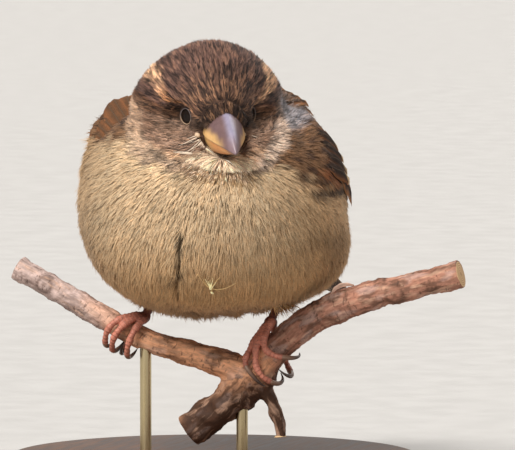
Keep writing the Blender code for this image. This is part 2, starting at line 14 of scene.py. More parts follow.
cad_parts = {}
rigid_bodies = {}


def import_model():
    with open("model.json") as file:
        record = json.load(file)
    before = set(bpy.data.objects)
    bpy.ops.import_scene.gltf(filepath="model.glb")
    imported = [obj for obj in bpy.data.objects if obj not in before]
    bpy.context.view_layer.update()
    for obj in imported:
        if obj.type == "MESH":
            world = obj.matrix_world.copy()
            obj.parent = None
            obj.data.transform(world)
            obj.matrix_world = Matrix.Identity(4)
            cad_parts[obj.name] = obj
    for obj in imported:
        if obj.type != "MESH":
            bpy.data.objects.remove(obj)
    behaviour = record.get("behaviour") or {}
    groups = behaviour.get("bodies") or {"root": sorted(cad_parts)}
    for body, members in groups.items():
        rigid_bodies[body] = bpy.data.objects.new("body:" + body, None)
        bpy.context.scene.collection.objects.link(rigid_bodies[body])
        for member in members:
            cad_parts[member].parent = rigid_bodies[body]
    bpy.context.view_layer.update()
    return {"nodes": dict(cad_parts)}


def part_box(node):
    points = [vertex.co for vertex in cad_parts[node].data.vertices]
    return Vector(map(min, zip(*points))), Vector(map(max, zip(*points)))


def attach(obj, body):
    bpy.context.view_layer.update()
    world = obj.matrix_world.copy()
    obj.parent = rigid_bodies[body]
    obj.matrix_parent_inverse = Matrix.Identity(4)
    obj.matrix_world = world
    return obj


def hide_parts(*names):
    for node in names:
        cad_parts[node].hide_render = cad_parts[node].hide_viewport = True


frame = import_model()

MM = 0.001
RNG = np.random.default_rng(11)
SIDES = {"left": 1, "right": -1}
FLESH = ["head", "neck", "trunk", "rump"]
WING_NODES = {s: [f"wing_{s}_{p}" for p in ("coverts", "secondaries", "primaries")] for s in SIDES}

# The head's frame: its bill points along -y and +x is the bird's left
HEAD_CENTRE = np.array((3.4, -11.0, 82.3))
HEAD_YAW = math.radians(30)
HEAD_PITCH = math.radians(15)
HEAD_TURN = np.array(Matrix.Rotation(HEAD_YAW, 3, "Z") @ Matrix.Rotation(HEAD_PITCH, 3, "X"))

EYE_RADIUS = 3.3
EYE_PLACE = (4.9, 3.4, 1.6)  # left, forward, up
EYE_TURN = math.radians(55)

SWELL = 0.25  # how far the solids grow so that the gaps between them close
SKIN_VOXEL = 0.6


# ---------------------------------------------------------------- small helpers


def srgb(r, g, b):
    """A colour as on a screen, 0 to 255, as linear light."""
    c = np.array((r, g, b)) / 255
    return np.where(c <= 0.04045, c / 12.92, ((c + 0.055) / 1.055) ** 2.4)


def smooth(x, low, high):
    """0 up to low, 1 from high on, and a smooth rise between."""
    t = np.clip((x - low) / (high - low), 0, 1)
    return t * t * (3 - 2 * t)


def unit(v):
    return v / np.maximum(np.linalg.norm(v, axis=-1, keepdims=True), 1e-9)


def toward(values, share, target):
    """Values taken a share of the way to the target."""
    return values + (target - values) * share


def mix(colours, mask, target):
    """One colour, or one for each point, taken towards another by the mask."""
    return toward(colours, mask[:, None], target)


def paint(colour, *layers):
    """A base colour with masks of other colours laid over it, one after the other."""
    for mask, target in layers:
        colour = mix(colour, mask, target)
    return colour


def band(offset, inner, outer):
    """1 near a line and fading to 0 on both sides of it."""
    return 1 - smooth(np.abs(offset), inner, outer)


def bell(offset, width):
    """1 at no offset and falling off smoothly on both sides."""
    return np.exp(-((offset / width) ** 2))


def blend(ways, target, share):
    return ways * (1 - share) + np.array(target) * share


def flat(ways, n):
    """Ways without the part of them that points along n."""
    return ways - (ways * n).sum(axis=1)[:, None] * n


def waves(points, wavelength, seed, count=7):
    """Smooth noise from a few crossing waves, about -1 to 1."""
    rng = np.random.default_rng(seed)
    total = np.zeros(len(points))
    for _ in range(count):
        way = unit(rng.normal(size=3))
        length = wavelength * rng.uniform(0.6, 1.6)
        total += np.sin(points @ way * 2 * math.pi / length + rng.uniform(0, 2 * math.pi))
    return total / math.sqrt(count / 2) / 1.6


def to_head(points):
    """Left, forward and up from the head's centre, in millimetres."""
    local = (points - HEAD_CENTRE) @ HEAD_TURN
    return local[:, 0], -local[:, 1], local[:, 2]


def head_reach(p, ahead=0.0):
    """How far points are from the head's centre, or from a place ahead of it."""
    left, forward, up = to_head(p)
    return np.sqrt(left**2 + (forward - ahead) ** 2 + up**2)


def from_head(left, forward, up):
    return HEAD_CENTRE + HEAD_TURN @ np.array((left, -forward, up))


def head_way(left, forward, up):
    return HEAD_TURN @ np.array((left, -forward, up))


def catmull(values, at):
    last = len(values) - 1
    i = min(int(at), last - 1)
    t = at - i
    p0, p1, p2, p3 = (np.array(values[max(0, min(last, k))], float) for k in (i - 1, i, i + 1, i + 2))
    a, b, c, d = 2 * p1, p2 - p0, 2 * p0 - 5 * p1 + 4 * p2 - p3, 3 * p1 - p0 - 3 * p2 + p3
    return 0.5 * (a + b * t + c * t * t + d * t**3)


def resample(values, count):
    """Evenly spaced rows on a smooth curve through the rows given."""
    return [catmull(values, i * (len(values) - 1) / (count - 1)) for i in range(count)]


def link(name, data):
    """Puts a mesh, light or camera in the scene."""
    obj = bpy.data.objects.new(name, data)
    bpy.context.scene.collection.objects.link(obj)
    return obj


def evaluated(obj):
    """The object's mesh with its modifiers applied."""
    bpy.context.view_layer.update()
    graph = bpy.context.evaluated_depsgraph_get()
    return bpy.data.meshes.new_from_object(obj.evaluated_get(graph), depsgraph=graph)


def vertices(mesh):
    flat = np.empty(len(mesh.vertices) * 3)
    mesh.vertices.foreach_get("co", flat)
    return flat.reshape(-1, 3) / MM


def set_vertices(mesh, points):
    mesh.vertices.foreach_set("co", (np.asarray(points) * MM).ravel())
    mesh.update()


def normals(mesh):
    flat = np.empty(len(mesh.vertices) * 3)
    mesh.vertex_normals.foreach_get("vector", flat)
    return flat.reshape(-1, 3)


def mesh_from(name, points, loops, sizes, uv, colours):
    """A mesh from arrays: points in millimetres, corner indices and the size of each face."""
    mesh = bpy.data.meshes.new(name)
    mesh.vertices.add(len(points))
    mesh.vertices.foreach_set("co", (np.asarray(points) * MM).ravel())
    mesh.loops.add(len(loops))
    mesh.loops.foreach_set("vertex_index", np.asarray(loops, np.int32))
    mesh.polygons.add(len(sizes))
    starts = np.concatenate(([0], np.cumsum(sizes)[:-1])).astype(np.int32)
    mesh.polygons.foreach_set("loop_start", starts)
    mesh.update(calc_edges=True)
    layer = mesh.uv_layers.new(name="OFBake")
    layer.data.foreach_set("uv", np.asarray(uv, np.float32).ravel())
    set_tint(mesh, colours)
    mesh.shade_smooth()
    return mesh


ATTRIBUTE_KEYS = {"FLOAT_COLOR": "color", "FLOAT_VECTOR": "vector", "FLOAT": "value"}


def set_values(mesh, name, kind, values):
    """Stores one value for each point of a mesh."""
    layer = mesh.attributes.new(name, kind, "POINT")
    layer.data.foreach_set(ATTRIBUTE_KEYS[kind], np.asarray(values, np.float32).ravel())


def set_tint(mesh, colours):
    """Stores one colour, or one for each point, as the mesh's tint."""
    rgba = np.ones((len(mesh.vertices), 4), np.float32)
    rgba[:, :3] = np.clip(colours, 0, 1)
    set_values(mesh, "tint", "FLOAT_COLOR", rgba)


def piece(name, mesh, material, slot, *nodes):
    """Puts a finished mesh in the scene as a piece of the model."""
    mesh.materials.clear()
    mesh.materials.append(material)
    obj = link(name, mesh)
    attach(obj, "root")
    if nodes:
        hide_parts(*nodes)
    return obj


def ring_faces(rings, sides, closed=False):
    """The quads between rings of points that follow each other, and back to the first if closed."""
    faces = []
    for i in range(rings if closed else rings - 1):
        a, b = i * sides, (i + 1) % rings * sides
        for j in range(sides):
            k = (j + 1) % sides
            faces.append((a + j, a + k, b + k, b + j))
    return faces


def tube(centres, radii, sides=12, squash=1.0):
    """Points and faces of a closed round tube along a line."""
    centres = np.asarray(centres, float)
    points, across = [], None
    n = len(centres)
    for i, centre in enumerate(centres):
        ahead = unit(centres[min(i + 1, n - 1)] - centres[max(i - 1, 0)])
        if across is None:
            across = np.cross(ahead, (0.31, 0.2, 0.93))
        across = unit(across - across.dot(ahead) * ahead)
        other = np.cross(ahead, across)
        for j in range(sides):
            a = 2 * math.pi * j / sides
            points.append(centre + radii[i] * (math.cos(a) * across + squash * math.sin(a) * other))
    points += [centres[0], centres[-1]]
    faces = ring_faces(n, sides)
    first, last = n * sides, n * sides + 1
    for j in range(sides):
        k = (j + 1) % sides
        faces.append((k, j, first))
        faces.append(((n - 1) * sides + j, (n - 1) * sides + k, last))
    return points, faces


def join(parts):
    """One list of points and faces from several."""
    points, faces = [], []
    for more, polygons in parts:
        base = len(points)
        points += list(more)
        faces += [tuple(i + base for i in polygon) for polygon in polygons]
    return points, faces


@contextmanager
def edited(mesh):
    """The mesh as a bmesh, put back when done."""
    bm = bmesh.new()
    bm.from_mesh(mesh)
    yield bm
    bm.to_mesh(mesh)
    bm.free()


def plain_mesh(name, points, faces):
    """A smooth mesh from points in millimetres, with its faces turned outward."""
    mesh = bpy.data.meshes.new(name)
    mesh.from_pydata([tuple(np.asarray(p) * MM) for p in points], [], faces)
    with edited(mesh) as bm:
        bmesh.ops.recalc_face_normals(bm, faces=bm.faces)
    mesh.shade_smooth()
    return mesh


def node_mesh(name):
    """A CAD node's solid as a bmesh, its doubled corners merged."""
    bm = bmesh.new()
    bm.from_mesh(frame["nodes"][name].data)
    bmesh.ops.remove_doubles(bm, verts=bm.verts, dist=1e-6)
    bm.normal_update()
    return bm


def remeshed(name, bm, voxel, rounds):
    """One closed, evenly meshed surface round everything in bm."""
    mesh = bpy.data.meshes.new(name)
    bm.to_mesh(mesh)
    bm.free()
    obj = link(name, mesh)
    remesh = obj.modifiers.new("join", "REMESH")
    remesh.mode = "VOXEL"
    remesh.voxel_size = voxel * MM
    even = obj.modifiers.new("even", "SMOOTH")
    even.factor = 0.5
    even.iterations = rounds
    out = evaluated(obj)
    bpy.data.objects.remove(obj, do_unlink=True)
    return out


# ---------------------------------------------------------------- node materials


class Nodes:
    """A short way to write a node material; the scales of noises are in turns for each metre."""

    def __init__(self, name):
        self.material = bpy.data.materials.new(name)
        self.material.use_nodes = True
        self.tree = self.material.node_tree
        self.shader = self.tree.nodes["Principled BSDF"]

    def add(self, kind, **values):
        node = self.tree.nodes.new(kind)
        for key, value in values.items():
            if hasattr(node, key) and key not in node.inputs:
                setattr(node, key, value)
            else:
                self.put(node.inputs[key], value)
        return node

    def put(self, socket, value):
        if isinstance(value, bpy.types.NodeSocket):
            self.tree.links.new(value, socket)
        else:
            socket.default_value = value

    def math(self, operation, a, b=0.0, c=0.0, clamp=False):
        node = self.tree.nodes.new("ShaderNodeMath")
        node.operation = operation
        node.use_clamp = clamp
        for socket, value in zip(node.inputs, (a, b, c)):
            self.put(socket, value)
        return node.outputs[0]

    def ramp(self, value, low, high, out_low=0.0, out_high=1.0):
        node = self.tree.nodes.new("ShaderNodeMapRange")
        node.interpolation_type = "SMOOTHSTEP"
        for i, v in enumerate((value, low, high, out_low, out_high)):
            self.put(node.inputs[i], v)
        return node.outputs[0]

    def mix(self, factor, a, b, blend="MIX"):
        node = self.tree.nodes.new("ShaderNodeMix")
        node.data_type = "RGBA"
        node.blend_type = blend
        self.put(node.inputs[0], factor)
        self.put(node.inputs[6], a if isinstance(a, bpy.types.NodeSocket) else (*a, 1.0))
        self.put(node.inputs[7], b if isinstance(b, bpy.types.NodeSocket) else (*b, 1.0))
        return node.outputs[2]

    def attribute(self, name, output="Color"):
        return self.add("ShaderNodeAttribute", attribute_name=name).outputs[output]

    def place(self, scale=(1, 1, 1), places=None):
        """Places in the object, or those given, drawn out by a scale."""
        if places is None:
            places = self.tree.nodes.new("ShaderNodeTexCoord").outputs["Object"]
        mapping = self.add("ShaderNodeMapping", Vector=places)
        mapping.inputs["Scale"].default_value = scale
        return mapping.outputs[0]

    def noise(self, vector, scale, detail=3.0, roughness=0.55, distortion=0.0):
        node = self.add(
            "ShaderNodeTexNoise", Vector=vector, Scale=scale, Detail=detail, Roughness=roughness
        )
        node.inputs["Distortion"].default_value = distortion
        return node.outputs["Fac"]

    def vary(self, noise, low=0.0, high=1.0):
        """A noise's usual range spread from low to high."""
        return self.ramp(noise, 0.3, 0.7, low, high)

    def scaled(self, colour, factor):
        """A colour made lighter or darker by a number."""
        node = self.add("ShaderNodeVectorMath", operation="SCALE")
        self.put(node.inputs[0], colour)
        self.put(node.inputs["Scale"], factor)
        return node.outputs[0]

    def bump(self, height, distance, strength=1.0):
        node = self.add("ShaderNodeBump", Height=height, Distance=distance, Strength=strength)
        self.tree.links.new(node.outputs[0], self.shader.inputs["Normal"])

    def finish(self, colour, roughness, **fixed):
        self.put(self.shader.inputs["Base Color"], colour)
        self.put(self.shader.inputs["Roughness"], roughness)
        for key, value in fixed.items():
            self.shader.inputs[key.replace("_", " ")].default_value = value
        return self.material


def plumage_material(name, shade=1.0, grain=1.0):
    """Feather colour from the markings, broken up finely, as barbs are, and darkened by shade: on the skin,
    painted shade between the tufts.
    """
    m = Nodes(name)
    fine = m.noise(m.place(), 5200, 2.0)
    broad = m.noise(m.place(), 420, 3.0)
    tone = m.math("MULTIPLY", m.vary(fine, 1 - 0.2 * grain, 1 + 0.2 * grain), shade)
    tone = m.math("MULTIPLY", tone, m.vary(broad, 0.93, 1.07))
    colour = m.scaled(m.attribute("tint"), tone)
    m.bump(fine, 0.00006, 0.5)
    rough = m.vary(fine, 0.72, 0.88)
    return m.finish(colour, rough, Specular_IOR_Level=0.28, Sheen_Weight=0.12, Sheen_Roughness=0.5)


# ---------------------------------------------------------------- markings

CROWN = srgb(91, 66, 57)
CROWN_FRINGE = srgb(128, 94, 68)
FOREHEAD = srgb(89, 62, 46)
SUPERCILIUM = srgb(196, 154, 120)
SUPERCILIUM_FRONT = srgb(168, 116, 76)
EYE_STRIPE = srgb(80, 49, 28)
CHEEK = srgb(146, 116, 96)
CHEEK_LOW = srgb(214, 172, 136)
RIM = srgb(182, 150, 124)
RIM_LOW = srgb(174, 148, 124)
RIM_LEFT = srgb(206, 180, 160)
CHEEK_EDGE = srgb(122, 90, 70)
# the dark lore round the bill, also the colour of the painted shadow under the left wing
LORE_AND_SHADOW = srgb(54, 38, 30)
CHIN = srgb(228, 198, 168)
BREAST = srgb(208, 180, 144)
# darker and warmer than the belly's own pale buff: partly painted shade low on the body
BELLY_AND_SHADE = srgb(196, 152, 102)
FLANK = srgb(182, 147, 108)
NAPE = srgb(136, 116, 100)
MANTLE = srgb(150, 117, 88)
MANTLE_STREAK = srgb(52, 37, 29)
RUMP = srgb(134, 109, 86)
UNDERTAIL = srgb(196, 172, 144)
NECK_SIDE = srgb(146, 142, 146)
NECK_PATCH = np.array((17.4, -3.4, 82.6))  # middle of the blue-grey feathers beside the head
BROW_LINE = (  # forward and up of the pale stripe over the eye
    (-13, 7.8), (-7, 8.6), (-3, 8.8), (-1.7, 8.2), (0, 7.1), (1.5, 5.9), (3, 4.8), (6.5, 3.9)
)
BROW_WIDTH = ((-13, 0.6), (-7.3, 1.5), (-3, 1.6), (0, 1.25), (3, 0.7), (6.5, 0.4))
STRETCH = np.array((1, 0.5, 1))  # draws a pattern out along the body
STREAK_ACROSS, STREAK_ALONG = 3.6, 8  # spacing of the dark dashes on the back
CHIN_SHIFT = 1.0  # how far to the right the chin's pale feathers have slipped
SHOULDER = srgb(124, 90, 62)
SHOULDER_DARK = srgb(74, 50, 35)
SHOULDER_RUFOUS = srgb(158, 96, 54)


def chin_side(p):
    """How far to the side of the chin's middle points are, along the head's curve."""
    left, forward, _ = to_head(p)
    return np.abs(left + CHIN_SHIFT) + 0.35 * (forward - 15)


def chin_depth(p):
    """How far under the line from which the chin's pale feathers start points are."""
    left, _, up = to_head(p)
    return -up - 0.5 * np.maximum(np.abs(left + CHIN_SHIFT) - 3.0, 0)


def body_colours(p):
    """The breast, belly, back and rump, with light and shade painted on the front: darker on the bird's right
    and low on the flanks, lighter high on the bird's left.
    """
    x, y, z = p.T
    # painted shade and light: how much darker the front is made; where the share is below zero it is painted
    # lighter
    painted_shade = 0.2 * smooth(-x, 6, 22) - 0.16 * smooth(x, 22, 27) * smooth(z, 54, 62)
    painted_shade = painted_shade + 0.14 * smooth(-x, 12, 24) * smooth(-z, -64, -54)
    painted_shade = painted_shade + 0.06 * smooth(x, 18, 26) * smooth(-z, -58, -48)
    painted_shade = painted_shade + 0.4 * smooth(x, 25, 28) * smooth(-z, -60, -55)
    colour = mix(BREAST, smooth(np.abs(x), 17, 29) * 0.8, FLANK)
    colour = colour * (1 - painted_shade * smooth(-y, -12, 0))[:, None]
    back = smooth(z + 0.35 * y + 1.5 * waves(p, 9, 3), 70, 80) * smooth(y, -6, 6)
    lines = np.sin(x * 2 * math.pi / STREAK_ACROSS + 1.3 * waves(p, 14, 5))
    dashes = np.sin(y * 2 * math.pi / STREAK_ALONG + 2 * waves(p, 6, 6))
    streak = smooth(lines, 0.25, 0.75) * smooth(dashes, -0.6, 0.2)
    return paint(
        colour,
        # towards the bottom: the belly's buff, partly painted shade
        (smooth(-z, -62, -42) * 0.85, BELLY_AND_SHADE),
        (smooth(y, 22, 40) * smooth(-z, -56, -48), UNDERTAIL),
        (back, MANTLE),
        (back * streak * (1 - smooth(y, 22, 34)) * 0.85, MANTLE_STREAK),
        (back * smooth(y, 26, 36), RUMP),
    )


def cheek_colours(p, stripe, wander):
    """The cheek below the eye stripe with its rim, as layers of a mask and a colour."""
    left, forward, up = to_head(p)
    side = np.abs(left)
    low = smooth(stripe + 0.6 - up + wander, -0.5, 0.5) * smooth(side, 3, 5)
    light = smooth(-up + 1.8 * (left > 0), 4.0, 5.6) * smooth(forward, 0, 5)
    reach = np.hypot(left, forward) + 0.5 * wander
    edge = bell(reach - 14.2, 1.0) * smooth(-up, -2.5, 0.5) * smooth(side, 7, 9)
    fading = smooth(-up, 2.5, 4.5)
    rim = smooth(reach + 0.9 * fading, 15.0, 16.6) * smooth(-up, -3.5, -1.0) * (left < 0)
    border = np.interp(forward, (6, 13, 17), (15.6, 17.0, 18.0))
    lower = smooth(-up, -5, -2)
    return (
        (low, mix(CHEEK, light, CHEEK_LOW)),
        (edge * 0.5 * (1 - fading), CHEEK_EDGE),
        (rim, mix(RIM, smooth(-up, 2, 6), RIM_LOW)),
        (smooth(reach, border - 2.2, border - 0.6) * lower * smooth(left, 4, 6), RIM_LEFT),
        (smooth(reach, border + 0.4, border + 1.8) * lower * smooth(left, 6, 9), SHOULDER),
    )


def eye_stripe(p, stripe, wander):
    """Mask of the dark stripe through the eye."""
    left, forward, up = to_head(p)
    width = np.interp(forward, (-9, -3, 2, 5), (0.9, 1.7, 1.5, 0.9))
    dark = band(up - stripe + 0.3 * wander, width * 0.6, width * 1.25)
    return dark * smooth(forward, -9, -6) * smooth(7.5 - forward, 0, 2) * smooth(np.abs(left), 5, 8)


def brow(p, wander):
    """Mask and colour of the pale stripe over the eye, wider on the bird's left."""
    left, forward, up = to_head(p)
    line = np.interp(forward, *zip(*BROW_LINE))
    line = line + np.where(left > 0, 1.1 * bell(forward - 2.5, 2), 0)
    width = np.interp(forward, *zip(*BROW_WIDTH))
    width = width * np.where(left > 0, 1.5, 1.0)
    pale = band(up - line + 0.6 * wander, width * 0.5, width * 1.3)
    pale = pale * smooth(forward, -13, -8) * smooth(8.0 - forward, 0, 1.5) * smooth(np.abs(left), 5, 7)
    pale = pale * np.clip(0.8 + 0.2 * (left > 0) + 0.4 * waves(p, 1.6, 10), 0.3, 1.0)
    front = smooth(forward, -0.5, 3) * np.where(left > 0, 0.1, 1)
    return pale, mix(SUPERCILIUM, front, SUPERCILIUM_FRONT)


def mask_round_bill(p, wander):
    """Mask of the dark feathers round the base of the bill, above its gape, and back to the eye."""
    left, forward, up = to_head(p)
    near = np.sqrt(left**2 + (forward - 10.5) ** 2 * 0.8 + (up - 1.0) ** 2)
    lore = (1 - smooth(near + 0.5 * wander, 4.6, 6.6)) * smooth(up + 0.2 * wander, -1.6, 0.2)
    to_eye = band(up - 1.4 + 0.5 * wander, 0.8, 2.0) * smooth(forward, 5.5, 7.5)
    lore = np.maximum(lore * 0.85, to_eye * smooth(np.abs(left), 3, 5) * (1 - smooth(forward, 11, 13)))
    return lore * (0.84 + 0.12 * np.sign(head_streaks(p)))


def head_colours(p):
    """The head, from the crown down."""
    _, forward, up = to_head(p)
    wander = 0.5 * waves(p, 5, 8) + 0.35 * waves(p, 1.8, 9)
    stripe = np.interp(forward, (-9, -3, 0.5, 4), (3.2, 2.6, 2.2, 2.0))
    chin = smooth(chin_depth(p), 2.6, 4.0) * smooth(forward, 8.5, 11.5) * (1 - smooth(chin_side(p), 5.0, 8.0))
    return paint(
        CROWN,
        (smooth(forward, 1, 9) * 0.75, FOREHEAD),
        (smooth(-forward, 6, 14) * smooth(-up, -9, 2), NAPE),
        *cheek_colours(p, stripe, wander),
        (smooth(-forward, 7.5, 11.5) * smooth(-up, -6, -3) * 0.75, NAPE),
        (eye_stripe(p, stripe, wander) * 0.75, EYE_STRIPE),
        brow(p, wander),
        (mask_round_bill(p, wander), LORE_AND_SHADOW),
        (chin, CHIN),
    )


def shoulder_layers(p):
    """The brown shoulder feathers above the breast's, and a painted shadow under the left wing's edge."""
    x, y, z = p.T
    edge = np.where(x > 0, 73.6 - 0.55 * (np.abs(x) - 17.8), 77.0) + 1.1 * waves(p, 3, 14)
    front = smooth(z - edge, -1.6, 1.6) * smooth(np.abs(x), 12, 16) * (1 - smooth(y, 6, 12))
    streak = smooth(waves(p * STRETCH, 2.4, 15), -0.1, 0.6)
    bars = smooth(np.sin(z * 2 * math.pi / 3.4 + 2 * waves(p, 5, 16)), 0.1, 0.6)
    rufous = smooth(np.abs(x) - 0.25 * (z - 66), 24.5, 27.5)
    brown = paint(
        SHOULDER,
        (streak, SHOULDER_DARK),
        (rufous * (1 - bars) * 0.8, SHOULDER_RUFOUS),
        (rufous * bars * 0.8, SHOULDER_DARK),
    )
    # painted shadow: a dark band on the flank, under the left wing's lower edge
    wing_shadow = bell(z - 66.4 + 0.4 * waves(p, 2, 18), 1.1) * smooth(x, 25.5, 27.5) * (1 - smooth(y, 2, 8))
    return (front, brown), (0.95 * wing_shadow, LORE_AND_SHADOW)


def markings(p):
    """The plumage's colour at points on the bird's outline."""
    left, forward, up = to_head(p)
    distance = head_reach(p)
    ruffle = bell(np.linalg.norm(p - RUFFLE_PLACE, axis=1), 5.0)
    warm_streak = smooth(waves(p * STRETCH, 2.2, 19), -0.3, 0.4)
    offset = (p - NECK_PATCH) * np.array((1, 0.6, 1))
    grey = 1 - smooth(np.linalg.norm(offset, axis=1) + 0.8 * waves(p, 2, 17), 2.8, 6.4)
    chin = (1 - smooth(chin_side(p), 5.4, 7.8)) * smooth(forward, 9, 12)
    chin = chin * smooth(chin_depth(p), 3.0, 4.2) * (1 - smooth(-up + 0.8 * waves(p, 2.5, 21), 7.0, 7.8))
    return paint(
        body_colours(p),
        ((1 - smooth(distance, 19, 25)) * smooth(p[:, 2], 76, 84), NAPE),
        (ruffle, mix(SHOULDER_DARK, warm_streak, SHOULDER_RUFOUS)),
        *shoulder_layers(p),
        (1 - smooth(distance + 0.8 * waves(p, 4, 12), 18.2, 20.8), head_colours(p)),
        (0.85 * grey * smooth(left, 14.4, 16.0), NECK_SIDE),
        (chin, CHIN),
    )


# ---------------------------------------------------------------- skin


def face(p):
    """1 round the bill's root, fading to 0 across the face."""
    return 1 - smooth(head_reach(p, 11), 5, 14)


def coat_depth(p):
    """How far the skin lies under the feather tips."""
    head = 1 - smooth(head_reach(p), 17, 24)
    body = (1.8 - 0.3 * smooth(p[:, 2], 66, 84)) * (1 - 0.75 * smooth(p[:, 1], 48, 56))
    return toward(body, head, 1.2) - 0.7 * face(p)


BELLY_LIFT = 1.3  # how far the skin rises under the belly, where the feathers hang loose
EYE_GAP = 0.2  # how much wider than the eyeball the skin is round it


def build_skin():
    """One closed surface round the bird's flesh, sunk under the feather tips."""
    bm = bmesh.new()
    for name in FLESH + WING_NODES["left"] + WING_NODES["right"]:
        part = node_mesh(name)
        for v in part.verts:
            v.co += v.normal * SWELL * MM
        held = bpy.data.meshes.new(name)
        part.to_mesh(held)
        part.free()
        bm.from_mesh(held)
        bpy.data.meshes.remove(held)
    sockets = [(s * EYE_PLACE[0], *EYE_PLACE[1:]) for s in (1, -1)]
    for place, radius in [((0, 7.0, 0), 4.6)] + [(socket, EYE_RADIUS + EYE_GAP) for socket in sockets]:
        made = bmesh.ops.create_uvsphere(bm, u_segments=24, v_segments=16, radius=radius * MM)
        bmesh.ops.translate(bm, verts=made["verts"], vec=Vector(from_head(*place)) * MM)
    mesh = remeshed("skin_form", bm, SKIN_VOXEL, 6)
    points = vertices(mesh)
    points -= normals(mesh) * (coat_depth(points) + SWELL)[:, None]
    points[:, 2] += BELLY_LIFT * smooth(-points[:, 2], -46, -39) * (1 - smooth(points[:, 1], 8, 22))
    set_vertices(mesh, points)
    with edited(mesh) as bm:
        for _ in range(3):
            bmesh.ops.smooth_vert(
                bm, verts=bm.verts, factor=0.5, use_axis_x=True, use_axis_y=True, use_axis_z=True
            )
        keep_biggest(bm)
    mesh.shade_smooth()
    return mesh


def keep_biggest(bm):
    """Deletes every loose part but the biggest."""
    left = set(bm.verts)
    bodies = []
    while left:
        body, front = set(), [left.pop()]
        body.add(front[0])
        while front:
            here = front.pop()
            for edge in here.link_edges:
                other = edge.other_vert(here)
                if other not in body:
                    body.add(other)
                    front.append(other)
        left -= body
        bodies.append(body)
    bodies.sort(key=len)
    for body in bodies[:-1]:
        bmesh.ops.delete(bm, geom=list(body), context="VERTS")


def unwrap(obj):
    """Gives the skin its map, which the coat is laid out on too."""
    bpy.context.view_layer.objects.active = obj
    obj.select_set(True)
    obj.data.uv_layers.new(name="OFBake")
    bpy.ops.object.mode_set(mode="EDIT")
    bpy.ops.mesh.select_all(action="SELECT")
    bpy.ops.uv.smart_project(angle_limit=math.radians(66), island_margin=0.002)
    bpy.ops.object.mode_set(mode="OBJECT")
    obj.select_set(False)


# ---------------------------------------------------------------- coat


class Surface:
    """The skin as arrays, for scattering tufts on it."""

    def __init__(self, mesh):
        mesh.calc_loop_triangles()
        count = len(mesh.loop_triangles)
        corners = np.empty(count * 3, np.int32)
        mesh.loop_triangles.foreach_get("vertices", corners)
        loops = np.empty(count * 3, np.int32)
        mesh.loop_triangles.foreach_get("loops", loops)
        self.corners, loops = corners.reshape(-1, 3), loops.reshape(-1, 3)
        self.points, self.normals = vertices(mesh), normals(mesh)
        uv = np.empty(len(mesh.loops) * 2)
        mesh.uv_layers["OFBake"].data.foreach_get("uv", uv)
        self.uv = uv.reshape(-1, 2)[loops]
        a, b, c = (self.points[self.corners[:, i]] for i in range(3))
        self.areas = np.linalg.norm(np.cross(b - a, c - a), axis=1) / 2
        self.centres = (a + b + c) / 3

    def scatter(self, weights, count):
        """Places spread evenly over the weighted area: point, way out and place on the map."""
        share = np.cumsum(weights * self.areas)
        chosen = np.searchsorted(share, (np.arange(count) + RNG.random(count)) / count * share[-1])
        chosen = np.minimum(chosen, len(self.corners) - 1)
        r = RNG.random((count, 2))
        flip = r.sum(axis=1) > 1
        r[flip] = 1 - r[flip]
        bary = np.stack((1 - r.sum(axis=1), r[:, 0], r[:, 1]), axis=1)[:, :, None]
        corners = self.corners[chosen]
        points = (self.points[corners] * bary).sum(axis=1)
        ways = unit((self.normals[corners] * bary).sum(axis=1))
        return points, ways, (self.uv[chosen] * bary).sum(axis=1)


BILL_ROOT = from_head(0, 11.0, -0.5)
TAIL_ROOT = np.array((0.0, 51.0, 52.0))
TAIL_TIP = np.array((-1.5, 90.0, 35.6))
TAIL_WAY = unit(TAIL_TIP - TAIL_ROOT)
PARTING = ((47.0, -0.6), (51.5, 0.7), (54.5, 1.4), (58.5, 2.1))  # z and x of the line down the belly


def eye_frame(sign):
    """An eye's centre and the way it looks."""
    axis = unit(head_way(sign * math.sin(EYE_TURN), math.cos(EYE_TURN), 0.05))
    return from_head(sign * EYE_PLACE[0], EYE_PLACE[1], EYE_PLACE[2]), axis


def eye_reach(p, sign):
    """How far points in front of an eye are from its axis, and the way away from it."""
    centre, axis = eye_frame(sign)
    offset = p - centre
    along = offset @ axis
    away = offset - along[:, None] * axis
    reach = np.linalg.norm(away, axis=1)
    reach = np.where(along > 0.5, reach, 99.0)
    return reach, away / np.maximum(reach, 1e-6)[:, None]


